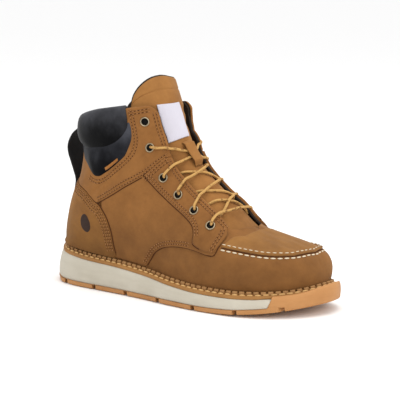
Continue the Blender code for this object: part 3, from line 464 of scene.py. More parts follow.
# Sections of the upper from the toe to the collar, as shares of the sizes they follow
SECTION_COLUMNS = ("foot", "back_x", "back_z", "ridge_x", "ridge_z", "ridge_y",
                   "outer", "inner", "level", "square")
SECTIONS = (
    (1.000, 0.040, 0.160, 0.968, 0.137, 0.105, 0.000, 0.000, 0.42, 2.4),
    (0.990, 0.040, 0.160, 0.965, 0.202, 0.105, 0.006, 0.006, 0.42, 2.5),
    (0.955, 0.040, 0.160, 0.953, 0.257, 0.100, 0.013, 0.013, 0.40, 2.6),
    (0.900, 0.040, 0.160, 0.929, 0.299, 0.090, 0.018, 0.018, 0.38, 2.6),
    (0.820, 0.040, 0.160, 0.883, 0.328, 0.065, 0.023, 0.023, 0.36, 2.5),
    (0.730, 0.040, 0.160, 0.807, 0.360, 0.040, 0.023, 0.023, 0.34, 2.4),
    (0.640, 0.040, 0.160, 0.730, 0.404, 0.020, 0.018, 0.018, 0.32, 2.3),
    (0.550, 0.040, 0.160, 0.674, 0.499, 0.005, 0.018, 0.018, 0.31, 2.2),
    (0.450, 0.040, 0.160, 0.622, 0.583, 0.000, 0.023, 0.028, 0.32, 2.1),
    (0.340, 0.040, 0.160, 0.570, 0.661, 0.000, 0.037, 0.046, 0.34, 2.1),
    (0.220, 0.040, 0.160, 0.530, 0.734, 0.000, 0.060, 0.073, 0.37, 2.05),
    (0.110, 0.040, 0.160, 0.508, 0.802, 0.000, 0.110, 0.120, 0.40, 2.0),
    (0.030, 0.040, 0.180, 0.497, 0.860, 0.000, 0.225, 0.230, 0.43, 2.0),
    (0.000, 0.040, 0.160, 0.492, 0.879, 0.000, 0.335, 0.335, 0.45, 2.0),
    (0.000, 0.035, 0.292, 0.488, 0.896, 0.000, 0.345, 0.345, 0.46, 2.0),
    (0.000, 0.061, 0.421, 0.482, 0.924, 0.000, 0.340, 0.340, 0.48, 2.0),
    (0.000, 0.097, 0.562, 0.477, 0.947, 0.000, 0.335, 0.335, 0.50, 2.0),
    (0.000, 0.115, 0.702, 0.472, 0.966, 0.000, 0.339, 0.339, 0.50, 2.0),
    (0.000, 0.118, 0.815, 0.467, 0.986, 0.000, 0.349, 0.349, 0.50, 2.0),
    (0.000, 0.120, 0.910, 0.463, 1.000, 0.000, 0.358, 0.358, 0.50, 2.0),
)

# Edges of the leather pieces on the skin. Quarter: share down from the flap's edge, then
# s of its front and back edge. The others: s, then the edge as a share of the half girth
QUARTER = (
    (0.000, 0.346, 0.559), (0.050, 0.331, 0.561), (0.110, 0.324, 0.563), (0.300, 0.315, 0.578),
    (0.484, 0.311, 0.608), (0.514, 0.319, 0.617), (0.532, 0.343, 0.606), (0.580, 0.382, 0.585),
    (0.643, 0.409, 0.553), (0.725, 0.428, 0.533), (0.812, 0.435, 0.519), (1.000, 0.437, 0.494),
)
EYESTAY = (
    (0.313, 0.600), (0.341, 0.612), (0.364, 0.600), (0.378, 0.512), (0.391, 0.462),
    (0.407, 0.437), (0.460, 0.393), (0.500, 0.362), (0.536, 0.337), (0.572, 0.323),
)
COUNTER = (
    (0.496, 0.960), (0.510, 0.875), (0.523, 0.803), (0.541, 0.725), (0.561, 0.668),
    (0.586, 0.630), (0.619, 0.600), (0.676, 0.589), (0.732, 0.618), (0.768, 0.675),
    (0.795, 0.744), (0.822, 0.830), (0.842, 0.935), (0.848, 1.000),
)
APRON = (
    (0.150, 0.110), (0.158, 0.210), (0.172, 0.360), (0.201, 0.450), (0.242, 0.497),
    (0.283, 0.508), (0.309, 0.516),
)
# Lower edge of the shaft: share of the half girth, then s
SHAFT_LOW = (
    (0.120, 0.560), (0.228, 0.563), (0.300, 0.566), (0.375, 0.576), (0.443, 0.589),
    (0.525, 0.603), (0.593, 0.624), (0.680, 0.690), (0.775, 0.785), (0.850, 0.812),
    (1.000, 0.828),
)
# Collar roll: share from the back seam to the flap's edge, then s of its lower edge
ROLL = ((0.00, 0.925), (0.16, 0.914), (0.24, 0.901), (0.37, 0.877), (0.49, 0.858), (0.58, 0.844),
        (0.65, 0.842), (0.71, 0.853), (0.755, 0.884), (0.765, 0.895))
# Collar pad: share from back to front, low s and w, top s and w
PAD = (
    (0.00, 0.885, 0.850, 0.903, 0.862), (0.12, 0.852, 0.738, 0.885, 0.775),
    (0.25, 0.808, 0.632, 0.872, 0.690), (0.40, 0.769, 0.556, 0.857, 0.605),
    (0.50, 0.753, 0.508, 0.850, 0.560), (0.70, 0.748, 0.430, 0.838, 0.470),
    (0.88, 0.754, 0.350, 0.850, 0.408), (1.00, 0.800, 0.316, 0.892, 0.354),
)
# Seam round the collar pad, from the flap to the back: s and w
PAD_SEAM = ((0.985, 0.372), (0.937, 0.356), (0.894, 0.350), (0.844, 0.331), (0.801, 0.312),
            (0.768, 0.318), (0.752, 0.347), (0.746, 0.405), (0.745, 0.475), (0.755, 0.533),
            (0.800, 0.628))
# Eyelets from the collar down: s, then millimetres from the ridge
EYELETS = ((0.880, 38.6), (0.677, 42.4), (0.523, 39.8), (0.464, 38.6), (0.411, 37.9),
           (0.358, 37.8))

# Fall of the tongue's top edge: millimetres from the ridge, then millimetres down
TONGUE_FALL = ((0.0, 0.0), (10.0, 0.2), (16.0, 0.9), (21.6, 2.0), (26.0, 3.5), (30.4, 5.3),
               (35.0, 7.7), (39.0, 10.2), (43.0, 13.4), (46.0, 16.5), (48.0, 20.5), (50.5, 28.0))

# Ways of the laces: eyelet counted from the collar, sign of the side, then s, millimetres
# from the ridge and lift in millimetres
LACE_RUNS = {
    "lace_kept_high": tuple((1, side, (
        (0.646, 38.3, 4.6), (0.623, 34.0, 4.4), (0.604, 27.6, 4.2), (0.590, 23.4, 2.6),
        (0.577, 18.6, 0.6), (0.556, 11.0, -1.2), (0.546, 4.0, -1.6), (0.544, -2.0, -1.8)))
        for side in (-1, 1)),
    "lace_kept_low": tuple((2, side, (
        (0.526, 37.0, 5.3), (0.530, 31.0, 4.6), (0.531, 25.2, 4.2), (0.530, 19.5, 0.8),
        (0.529, 14.0, -1.3), (0.528, 8.3, -1.8), (0.526, 0.0, -1.8))) for side in (-1, 1)),
    "lace_cross_high": (
        (3, -1, ((0.469, 35.8, 5.3), (0.474, 30.5, 4.6), (0.478, 25.0, 4.2), (0.478, 19.5, 1.4),
                 (0.478, 13.0, 0.2), (0.481, 3.0, 1.2), (0.490, -6.0, 0.2),
                 (0.503, -16.0, -1.6), (0.511, -25.5, -2.4))),
        (3, 1, ((0.463, 35.8, 5.3), (0.461, 30.0, 4.6), (0.459, 25.0, 4.2), (0.457, 18.0, 0.6),
                (0.458, 10.0, -1.6), (0.463, 3.0, -1.8), (0.473, -4.0, -1.8),
                (0.483, -11.5, -1.8), (0.500, -20.5, -1.9), (0.507, -26.0, -2.6)))),
    "lace_cross_middle": (
        (4, -1, ((0.415, 34.7, 5.3), (0.421, 30.0, 4.6), (0.426, 25.0, 4.2), (0.429, 19.9, 1.4),
                 (0.433, 11.3, 0.2), (0.435, 2.5, 1.2), (0.442, -7.0, 0.2),
                 (0.449, -16.0, -1.6), (0.455, -25.5, -2.4))),
        (4, 1, ((0.410, 34.7, 5.3), (0.409, 30.0, 4.6), (0.409, 25.0, 4.2), (0.406, 18.0, 0.6),
                (0.405, 12.0, -1.6), (0.407, 5.9, -1.8), (0.413, -2.0, -1.8),
                (0.420, -9.7, -1.8), (0.433, -17.6, -1.8), (0.443, -24.0, -2.2),
                (0.446, -26.5, -2.6)))),
    "lace_cross_low": (
        (-1, -1, ((0.362, 27.0, -2.6), (0.366, 18.6, -1.8), (0.374, 11.0, -0.6),
                  (0.383, 4.5, 0.6), (0.392, -6.0, 0.4), (0.400, -16.0, -1.6),
                  (0.406, -26.0, -2.6))),
        (-1, 1, ((0.362, 27.0, -2.6), (0.366, 18.6, -1.8), (0.374, 11.0, -1.8),
                 (0.381, 3.0, -1.9), (0.388, -6.0, -1.9), (0.398, -16.0, -1.9),
                 (0.404, -26.0, -2.6)))),
    "lace_bottom_bar": tuple((5, side, (
        (0.361, 34.0, 5.3), (0.364, 29.0, 4.6), (0.364, 24.6, 4.2), (0.363, 19.5, 2.0),
        (0.360, 12.9, 1.0), (0.358, 0.0, 1.6))) for side in (-1, 1)),
}


# Rough size of the skin along and across, in millimetres
SKIN_SIZE = np.array([260.0, 150.0])

# Section of an eyelet's flange: millimetres from its axis, then millimetres up
EYELET_PROFILE = ((3.0, -0.6), (4.3, -0.3), (4.5, 0.15), (4.25, 0.55), (3.85, 0.8),
                  (3.45, 0.7), (3.15, 0.3))


def smooth(knots: Array, values: Array, at: Union[Array, float]) -> Array:
    """Monotone cubic through the knots.

    Args:
        knots: rising places.
        values: value at each place.
        at: where to read.

    Returns:
        The values there.
    """
    knots = np.asarray(knots, float)
    values = np.asarray(values, float)
    step = np.diff(knots)
    slope = np.diff(values) / step
    inner = np.zeros(len(knots))
    inner[0] = slope[0]
    inner[-1] = slope[-1]
    for k in range(1, len(knots) - 1):
        if slope[k - 1] * slope[k] > 0.0:
            before = 2.0 * step[k] + step[k - 1]
            after = step[k] + 2.0 * step[k - 1]
            inner[k] = (before + after) / (before / slope[k - 1] + after / slope[k])
    at = np.clip(at, knots[0], knots[-1])
    k = np.clip(np.searchsorted(knots, at) - 1, 0, len(step) - 1)
    u = (at - knots[k]) / step[k]
    rise = values[k] * (1 + 2 * u) * (1 - u) ** 2 + values[k + 1] * u * u * (3 - 2 * u)
    return rise + step[k] * (inner[k] * u * (1 - u) ** 2 - inner[k + 1] * u * u * (1 - u))


def read(table: Sequence[Sequence[float]], column: int, at: Union[Array, float]) -> Array:
    """One column of a table, read at places of its first column."""
    rows = np.array(table, float)
    return smooth(rows[:, 0], rows[:, column], at)


def ease(value: Union[Array, float]) -> Array:
    """Smooth step from 0 to 1."""
    value = np.clip(value, 0.0, 1.0)
    return value * value * (3.0 - 2.0 * value)


def run_along(points: Array) -> Array:
    """Length run up to each point of a line."""
    return np.concatenate([[0.0], np.cumsum(np.linalg.norm(np.diff(points, axis=0), axis=1))])


@dataclass
class BootForm:
    """The sole's outline and heights, and the skin that every leather piece follows."""

    sole_length: float = 300.0 * MM
    sole_width: float = 109.0 * MM
    outsole_thickness: float = 4.5 * MM
    toe_spring: float = 11.0 * MM
    toe_spring_start: float = 45.0 * MM
    heel_roll: float = 1.2 * MM
    heel_platform: float = 32.5 * MM
    ball_platform: float = 15.0 * MM
    welt_thickness: float = 3.2 * MM
    feather_inset: float = 9.6 * MM
    feather_gap: float = 0.9 * MM
    collar_height: float = 178.0 * MM
    throat_half_gap: float = 24.5 * MM
    throat_start: float = 0.298
    throat_length: float = 0.030
    heel_row: int = 13
    grid_s: Array = field(default_factory=lambda: np.linspace(0.0, 1.0, 381))
    grid_w: Array = field(default_factory=lambda: np.linspace(-1.0, 1.0, 281))

    def __post_init__(self) -> None:
        """Work out the skin once, on a fine net."""
        self.rows = np.array(SECTIONS, float)
        self.steps = np.linspace(0.0, 1.0, len(SECTIONS))
        self.heel_step = float(self.steps[self.heel_row])
        self.turns = np.arccos(1.0 - 2.0 * np.array(OUTLINE)[:, 0])
        heel_x = self.feather_inset - 0.5 * self.sole_length
        self.rows[:, 0] = np.arccos(1.0 - 2.0 * self.rows[:, 0])
        self.rows[:self.heel_row + 1, 1] = heel_x / self.sole_length + 0.5
        self.rows[:self.heel_row + 1, 2] = self.feather_height(heel_x) / self.collar_height
        self.girths = np.zeros((len(self.grid_s), 2))
        self.net = np.zeros((len(self.grid_s), len(self.grid_w), 3))
        for i, s in enumerate(self.grid_s):
            for side in (-1, 1):
                points, run = self.half_section(float(s), side)
                self.girths[i, (side + 1) // 2] = run[-1]
                mask = self.grid_w <= 0.0 if side < 0 else self.grid_w >= 0.0
                place = (1.0 - np.abs(self.grid_w[mask])) * run[-1]
                for axis in range(3):
                    self.net[i, mask, axis] = np.interp(place, run, points[:, axis])
        self.soften(15.0)
        self.along_s = np.gradient(self.net, self.grid_s, axis=0)
        self.along_w = np.gradient(self.net, self.grid_w, axis=1)
        normal = np.cross(self.along_w, self.along_s)
        normal /= np.maximum(np.linalg.norm(normal, axis=2, keepdims=True), 1e-12)
        behind = self.grid_s >= self.heel_step
        seam = normal[behind, 0] + normal[behind, -1]
        seam[:, 1] = 0.0
        seam /= np.linalg.norm(seam, axis=1, keepdims=True)
        normal[behind, 0] = seam
        normal[behind, -1] = seam
        for _ in range(3):
            normal[1:-1] = 0.25 * normal[:-2] + 0.5 * normal[1:-1] + 0.25 * normal[2:]
            normal[:, 1:-1] = 0.25 * normal[:, :-2] + 0.5 * normal[:, 1:-1] + 0.25 * normal[:, 2:]
        normal /= np.maximum(np.linalg.norm(normal, axis=2, keepdims=True), 1e-12)
        self.normals = normal

    def soften(self, spread_rows: float) -> None:
        """Ease the fold where the sections leave the bottom edge for the back seam.

        Args:
            spread_rows: width of the smoothing, in rows of the net.
        """
        reach = np.arange(-45, 46)
        weights = np.exp(-0.5 * (reach / spread_rows) ** 2)
        weights /= weights.sum()
        padded = np.pad(self.net, ((45, 45), (0, 0), (0, 0)), mode="reflect", reflect_type="odd")
        blurred = sum(weight * padded[k:k + len(self.net)] for k, weight in enumerate(weights))
        near = np.exp(-((self.grid_s - self.heel_step) / 0.10) ** 4)[:, None]
        inside = ease((1.0 - np.abs(self.grid_w)) / 0.12)[None, :]
        self.net = self.net + (near * inside)[..., None] * (blurred - self.net)

    def outline(self, turn: Array, side: int) -> Array:
        """Points of the sole's outline.

        Args:
            turn: turn angle from 0 at the heel to pi at the toe.
            side: -1 for the outer edge, +1 for the inner one.

        Returns:
            X and Y in a last axis.
        """
        column = 2 if side > 0 else 1
        share = smooth(self.turns, np.array(OUTLINE)[:, column], turn)
        return np.stack([-0.5 * self.sole_length * np.cos(turn), share * self.sole_width], -1)

    def rim(self, turn: Array, side: int, inset: Union[Array, float],
            square: bool = False) -> Array:
        """Outline points moved inwards, square to the outline or straight across the sole."""
        turn = np.asarray(turn, float)
        reach = 0.02
        here = self.outline(turn, side)
        run = (self.outline(np.minimum(turn + reach, math.pi), side)
               - self.outline(np.maximum(turn - reach, 0.0), side))
        at_heel = turn < reach
        at_toe = turn > math.pi - reach
        run = np.where(at_heel[..., None], np.array([0.0, float(side)]), run)
        run = np.where(at_toe[..., None], np.array([0.0, -float(side)]), run)
        inward = np.stack([run[..., 1], -run[..., 0]], -1) * side
        inward /= np.linalg.norm(inward, axis=-1, keepdims=True)
        move = inward * np.asarray(inset)[..., None]
        if square:
            flat = np.abs(inward[..., 1]) > 0.5
            across = np.asarray(inset) / np.where(flat, inward[..., 1], 1.0)
            straight = np.stack([np.zeros_like(across), across], -1)
            move = np.where(flat[..., None], straight, move)
        return here + move

    def platform(self, x: Union[Array, float]) -> Array:
        """Height of the midsole's top."""
        rise = read(PLATFORM, 1, np.asarray(x) / self.sole_length + 0.5)
        return self.ball_platform + rise * (self.heel_platform - self.ball_platform)

    def underside(self, x: Union[Array, float]) -> Array:
        """Height of the outsole's bottom."""
        ahead = np.maximum(x - self.toe_spring_start, 0.0)
        ahead = ahead / (0.5 * self.sole_length - self.toe_spring_start)
        heel_edge = 0.44 * self.sole_length
        behind = np.maximum(-x - heel_edge, 0.0) / (0.5 * self.sole_length - heel_edge)
        return self.toe_spring * ahead ** 2.2 + self.heel_roll * behind ** 2

    def feather_height(self, x: Union[Array, float]) -> Array:
        """Height of the upper's lower edge."""
        return self.platform(x) + self.welt_thickness + self.feather_gap

    def half_section(self, s: float, side: int) -> tuple[Array, Array]:
        """One half section from the bottom edge to the ridge.

        Args:
            s: place along the boot.
            side: -1 for the outer half, +1 for the inner.

        Returns:
            The points and the length run up to each.
        """
        row = {name: float(smooth(self.steps, self.rows[:, k], s))
               for k, name in enumerate(SECTION_COLUMNS)}
        ridge = np.array([(row["ridge_x"] - 0.5) * self.sole_length,
                          row["ridge_y"] * self.sole_width, row["ridge_z"] * self.collar_height])
        if s >= self.heel_step:
            bottom = np.array([(row["back_x"] - 0.5) * self.sole_length, 0.0,
                               row["back_z"] * self.collar_height])
        else:
            foot = self.rim(np.array(row["foot"]), side, self.feather_inset)
            bottom = np.array([foot[0], foot[1], float(self.feather_height(foot[0]))])
        angle = np.linspace(0.0, math.pi / 2.0, 22)
        base = abs(bottom[1] - ridge[1])
        widest = base + row["inner" if side > 0 else "outer"] * self.sole_width
        closing = 1.0 - min(base / max(widest, 1e-6), 1.0) ** 2
        low = 1.0 - np.sin(angle[::-1])
        soft = low * low * (3.0 - 2.0 * low)
        reach = base + (widest - base) * ((1 - closing) * soft + closing * np.cos(angle[::-1]))
        power = 2.0 / row["square"]
        top = widest * np.cos(angle) ** power
        top[-1] = 0.0
        reach = np.concatenate([reach, top[1:]])
        level = row["level"]
        up = np.concatenate([level * low, (level + (1 - level) * np.sin(angle) ** power)[1:]])
        points = bottom + (ridge - bottom) * up[:, None]
        points[:, 1] = ridge[1] + side * reach
        return points, run_along(points)

    def sample(self, net: Array, s: Array, w: Array) -> Array:
        """Read one of the nets between its knots."""
        i = np.clip(np.asarray(s, float) * (len(self.grid_s) - 1), 0, len(self.grid_s) - 1.001)
        j = (np.asarray(w, float) + 1.0) * 0.5 * (len(self.grid_w) - 1)
        j = np.clip(j, 0, len(self.grid_w) - 1.001)
        i0 = i.astype(int)
        j0 = j.astype(int)
        u = (i - i0)[..., None]
        v = (j - j0)[..., None]
        low = net[i0, j0] * (1 - v) + net[i0, j0 + 1] * v
        high = net[i0 + 1, j0] * (1 - v) + net[i0 + 1, j0 + 1] * v
        return low * (1 - u) + high * u

    def girth(self, s: Array, side: int) -> Array:
        """Half girth at s."""
        return np.interp(s, self.grid_s, self.girths[:, (side + 1) // 2])

    def flap_edge(self, s: Array) -> Array:
        """The flap's front edge as a share of the half girth."""
        return self.throat_half_gap / (0.5 * (self.girth(s, -1) + self.girth(s, 1)))

    def throat(self, s: Array) -> Array:
        """Half width of the throat, rounded at its lower end."""
        return ease((s - self.throat_start) / self.throat_length) * self.flap_edge(s)

    def normal(self, s: Array, w: Array) -> Array:
        """Outward normals of the skin."""
        normal = self.sample(self.normals, s, w)
        return normal / np.linalg.norm(normal, axis=-1, keepdims=True)

    def skin(self, s: Array, w: Array, lift: Union[Array, float] = 0.0) -> Array:
        """Points that stand off the skin by lift, with the upper's soft dents added."""
        lift = np.asarray(lift) + self.dents(np.asarray(s), np.asarray(w))
        return self.sample(self.net, s, w) + self.normal(s, w) * lift[..., None]

    def at_place(self, s: float, w: float, lift: float) -> Array:
        """One point off the skin."""
        s, w = np.array([s]), np.array([w])
        return self.sample(self.net, s, w)[0] + self.normal(s, w)[0] * lift

    def dents(self, s: Array, w: Array) -> Array:
        """Soft unevenness of worn leather, and the creases that the boot shows."""
        lumps = (0.22 * np.sin(s * 31.0 + w * 9.0) * np.sin(w * 21.0 - s * 13.0 + 0.7)
                 + 0.15 * np.sin(s * 57.0 - w * 17.0 + 2.0) * np.sin(w * 33.0 + s * 9.0))
        total = lumps
        for crease in CREASES:
            total = total + crease.depth(s, np.abs(w))
        return total * MM * ease((s - 0.05) / 0.12) + self.far_flap(s, w)

    def far_flap(self, s: Array, w: Array) -> Array:
        """Height by which the inner flap's edge stands off the tongue."""
        beside = (w * self.girth(s, 1) - self.throat_half_gap) / (6.5 * MM)
        return 3.0 * MM * np.exp(-beside ** 2) * ease((s - 0.34) / 0.06) * (np.asarray(w) > 0.0)

    def nearest(self, goal: Array, s: Array, w: Array) -> tuple[Array, Array]:
        """Skin coordinates of the places nearest to some points.

        Args:
            goal: the points, in metres.
            s: first guess along the boot.
            w: first guess across it.

        Returns:
            s and w, found by six Newton steps.
        """
        for _ in range(6):
            move = goal - self.sample(self.net, s, w)
            ps = self.sample(self.along_s, s, w)
            pw = self.sample(self.along_w, s, w)
            ss, ww, sw = ((a * b).sum(-1) for a, b in ((ps, ps), (pw, pw), (ps, pw)))
            ms, mw = ((move * way).sum(-1) for way in (ps, pw))
            det = np.maximum(ss * ww - sw * sw, 1e-12)
            s = np.clip(s + (ms * ww - mw * sw) / det, 0.004, 1.0)
            w = np.clip(w + (mw * ss - ms * sw) / det, -1.0, 1.0)
        return s, w

    def at_reach(self, s: Array, reach: Array, lift: Union[Array, float]) -> Array:
        """Points at a signed distance from the ridge, outer side negative."""
        s = np.asarray(s, float)
        reach = np.asarray(reach, float)
        girth = np.where(reach <= 0.0, self.girth(s, -1), self.girth(s, 1))
        w = reach / girth
        lift = np.broadcast_to(np.asarray(lift, float), s.shape)
        return self.sample(self.net, s, w) + self.normal(s, w) * lift[..., None]


@dataclass(frozen=True)
class Crease:
    """A soft trough with a ridge beside it, from one place on the skin to another."""

    start: tuple[float, float]
    end: tuple[float, float]
    deep: float
    wide: float

    def depth(self, s: Array, w: Array) -> Array:
        """Height that the crease adds, in millimetres.

        Args:
            s: places along the boot.
            w: shares of the half girth, unsigned.

        Returns:
            Negative in the trough, slightly positive beside it.
        """
        first = np.array(self.start) * SKIN_SIZE
        run = np.array(self.end) * SKIN_SIZE - first
        length = np.linalg.norm(run)
        run = run / length
        ds = s * SKIN_SIZE[0] - first[0]
        dw = w * SKIN_SIZE[1] - first[1]
        along = (ds * run[0] + dw * run[1]) / length
        off = (dw * run[0] - ds * run[1]) / self.wide
        fade = ease(along * 3.0) * ease((1.0 - along) * 3.0)
        return self.deep * fade * (-np.exp(-off ** 2) + 0.6 * np.exp(-(off - 1.9) ** 2))


# Creases under the pad, at the ankle's bend and across the ball
CREASES = (
    Crease((0.700, 0.620), (0.735, 0.440), 0.9, 3.2),
    Crease((0.640, 0.560), (0.690, 0.330), 0.6, 4.5),
    Crease((0.600, 0.300), (0.640, 0.180), 0.5, 3.5),
    Crease((0.300, 0.900), (0.330, 0.640), 0.45, 4.0),
    Crease((0.262, 0.880), (0.275, 0.600), 0.35, 4.0),
)

FORM = BootForm()


# Mesh tools

def spread(length: float, edge: float, count: int) -> Array:
    """Grid lines from 0 to 1, closer at both ends where an edge is rounded.

    Args:
        length: real length between the ends, in metres.
        edge: radius of the rounded edge, in metres; 0 for even lines.
        count: even segments in between.

    Returns:
        The shares of the lines.
    """
    if edge <= 0.0:
        return np.linspace(0.0, 1.0, count + 1)
    share = edge / length
    corner = share * np.array([0.0, 0.12, 0.4, 1.0])
    return np.concatenate([corner, np.linspace(share, 1.0 - share, count + 1)[1:-1],
                           (1.0 - corner)[::-1]])


def crowded(count: int) -> Array:
    """Grid lines from 0 to 1, closer at both ends."""
    return 0.5 - 0.5 * np.cos(np.linspace(0.0, math.pi, count))


def rounded(a: Array, length: float, edge: float) -> Array:
    """Height share of a rounded edge at both ends of a run."""
    near = np.minimum(a, 1.0 - a) * length
    return np.sqrt(np.clip(1.0 - (1.0 - np.clip(near / edge, 0.0, 1.0)) ** 2, 0.0, 1.0))


def grid_mesh(name: str, a_lines: Array, b_lines: Array, place: Place,
              size: tuple[float, float] = (1.0, 1.0), weld: bool = False) -> bpy.types.Object:
    """A grid moved onto a surface, with a layout in millimetres as its UV map.

    Args:
        name: the object's name.
        a_lines: shares of the lines along.
        b_lines: shares of the lines across.
        place: gives the points and outward normals for shares a and b.
        size: real length along and across, in millimetres.
        weld: whether doubles are merged and the ends closed, as for a tube.

    Returns:
        The new object.
    """
    bm = bmesh.new()
    rows = len(a_lines) - 1
    columns = len(b_lines) - 1
    bmesh.ops.create_grid(bm, x_segments=columns, y_segments=rows, size=1.0, calc_uvs=True)
    bm.verts.ensure_lookup_table()
    flat = np.array([vert.co[:2] for vert in bm.verts])
    b = np.asarray(b_lines)[np.rint((flat[:, 0] + 1.0) * 0.5 * columns).astype(int)]
    a = np.asarray(a_lines)[np.rint((flat[:, 1] + 1.0) * 0.5 * rows).astype(int)]
    points, normals = place(a, b)
    layer = bm.loops.layers.uv.verify()
    for face in bm.faces:
        for loop in face.loops:
            k = loop.vert.index
            loop[layer].uv = (b[k] * size[1], a[k] * size[0])
    for vert, point in zip(bm.verts, points):
        vert.co = point
    bm.normal_update()
    facing = sum(face.normal.dot(Vector(normals[face.verts[0].index])) for face in bm.faces)
    if facing < 0.0:
        bmesh.ops.reverse_faces(bm, faces=bm.faces)
    if weld:
        bmesh.ops.remove_doubles(bm, verts=bm.verts, dist=1e-6)
        bmesh.ops.holes_fill(bm, edges=bm.edges, sides=0)
        bmesh.ops.recalc_face_normals(bm, faces=bm.faces)
    return finish_mesh(name, bm)


def finish_mesh(name: str, bm: bmesh.types.BMesh, sharp: float = 50.0) -> bpy.types.Object:
    """Make a smooth-shaded object of a bmesh."""
    mesh = bpy.data.meshes.new(name)
    bm.to_mesh(mesh)
    bm.free()
    if mesh.uv_layers:
        mesh.uv_layers[0].name = "UVMap"
    mesh.shade_smooth()
    mesh.set_sharp_from_angle(angle=math.radians(sharp))
    piece = bpy.data.objects.new(name, mesh)
    bpy.context.scene.collection.objects.link(piece)
    return piece


def ring_edges(bm: bmesh.types.BMesh, points: Iterable) -> list[bmesh.types.BMEdge]:
    """Closed ring of edges through some points."""
    ring = [bm.verts.new(point) for point in points]
    return [bm.edges.new((ring[k - 1], ring[k])) for k in range(len(ring))]


def thicken(piece: bpy.types.Object, thickness: float, inner: int = 0, rim: int = 0) -> None:
    """Give a sheet a wall inwards from its outer face."""
    wall = piece.modifiers.new("wall", "SOLIDIFY")
    wall.thickness = thickness
    wall.offset = -1.0
    wall.use_even_offset = False
    wall.material_offset = inner
    wall.material_offset_rim = rim


def tube_mesh(name: str, path: Array, radius: float, sides: int = 10) -> bpy.types.Object:
    """A round cord along a path.

    Args:
        name: the object's name.
        path: points of its middle line.
        radius: the cord's radius.
        sides: faces round it.

    Returns:
        The new object.
    """
    ahead = np.gradient(path, axis=0)
    ahead /= np.linalg.norm(ahead, axis=1, keepdims=True)
    guide = np.array([0.0, 0.0, 1.0])
    frames = []
    for step in ahead:
        across = np.cross(step, guide)
        across /= np.linalg.norm(across)
        guide = np.cross(across, step)
        frames.append((across, guide))
    across = np.array([pair[0] for pair in frames])
    upward = np.array([pair[1] for pair in frames])

    def place(a: Array, b: Array) -> tuple[Array, Array]:
        """Places round the cord."""
        k = np.rint(a * (len(path) - 1)).astype(int)
        turn = 2.0 * math.pi * np.where(b > 0.9999, 0.0, b)
        out = across[k] * np.cos(turn)[:, None] + upward[k] * np.sin(turn)[:, None]
        return path[k] + radius * out, out

    length = float(run_along(path)[-1]) * 1000.0
    return grid_mesh(name, np.linspace(0.0, 1.0, len(path)), np.linspace(0.0, 1.0, sides + 1),
                     place, (length, 2.0 * math.pi * radius * 1000.0), weld=True)


def curve_through(points: Sequence[Array], step: float) -> Array:
    """Smooth curve through points, sampled at an even step.

    Args:
        points: the places it passes.
        step: spacing of the samples in metres.

    Returns:
        The samples.
    """
    points = np.array(points, float)
    full = np.vstack([2 * points[0] - points[1], points, 2 * points[-1] - points[-2]])
    samples = []
    for k in range(1, len(full) - 2):
        for u in np.linspace(0.0, 1.0, 24, endpoint=False):
            before, here, there, after = full[k - 1], full[k], full[k + 1], full[k + 2]
            samples.append(0.5 * (2 * here + (there - before) * u
                                  + (2 * before - 5 * here + 4 * there - after) * u * u
                                  + (3 * here - before - 3 * there + after) * u ** 3))
    samples.append(points[-1])
    samples = np.array(samples)
    run = run_along(samples)
    count = max(int(run[-1] / step), 4)
    even = np.linspace(0.0, run[-1], count + 1)
    return np.stack([np.interp(even, run, samples[:, k]) for k in range(3)], -1)


def join_pieces(name: str, pieces: Sequence[bpy.types.Object]) -> bpy.types.Object:
    """Join several objects' meshes into one new object."""
    bm = bmesh.new()
    for piece in pieces:
        bm.from_mesh(piece.data)
        bpy.data.objects.remove(piece, do_unlink=True)
    return finish_mesh(name, bm)


def declare(piece: bpy.types.Object, materials: Sequence[bpy.types.Material],
            nodes: Iterable[str] = ()) -> bpy.types.Object:
    """Dress a piece, hang it on the root body and hide the CAD nodes that it replaces.

    Args:
        piece: the object.
        materials: its materials in order.
        nodes: CAD nodes that it replaces.

    Returns:
        The same object.
    """
    piece.data.materials.clear()
    for material in materials:
        piece.data.materials.append(material)
    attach(piece, "root")
    names = tuple(nodes)
    if names:
        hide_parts(*names)
    LOG.info("%s: %d faces", piece.name, len(piece.data.polygons))
    return piece


@dataclass
class SkinLine:
    """A line on the skin, as dense places s and w."""

    s: Array
    w: Array

    @classmethod
    def through(cls, knots: Sequence[tuple[float, float]], count: int = 160) -> "SkinLine":
        """A smooth line through places on the skin."""
        knots = np.array(knots, float)
        flat = np.column_stack([knots * SKIN_SIZE, np.zeros(len(knots))])
        dense = curve_through(flat, 1.0)
        share = np.linspace(0.0, len(dense) - 1, count)
        s = np.interp(share, np.arange(len(dense)), dense[:, 0]) / SKIN_SIZE[0]
        w = np.interp(share, np.arange(len(dense)), dense[:, 1]) / SKIN_SIZE[1]
        return cls(s, w)

    def shifted(self, distance: float) -> "SkinLine":
        """The line moved sideways along the skin, to its left when positive."""
        base = FORM.sample(FORM.net, self.s, self.w)
        ahead = np.gradient(base, axis=0)
        ahead /= np.maximum(np.linalg.norm(ahead, axis=1, keepdims=True), 1e-9)
        goal = base + np.cross(FORM.normal(self.s, self.w), ahead) * distance
        s, w = FORM.nearest(goal, self.s, self.w)
        moved = FORM.sample(FORM.net, s, w)
        reach = np.linalg.norm(moved[:, None] - base[None], axis=2).min(axis=1)
        keep = reach > 0.9 * abs(distance)
        return SkinLine(s[keep], w[keep])

    def even(self, pitch: float) -> tuple[Array, Array]:
        """Places along the line at an even pitch."""
        base = FORM.sample(FORM.net, self.s, self.w)
        run = run_along(base)
        count = max(int(run[-1] / pitch), 1)
        at = (np.arange(count) + 0.5) * run[-1] / count
        return np.interp(at, run, self.s), np.interp(at, run, self.w)


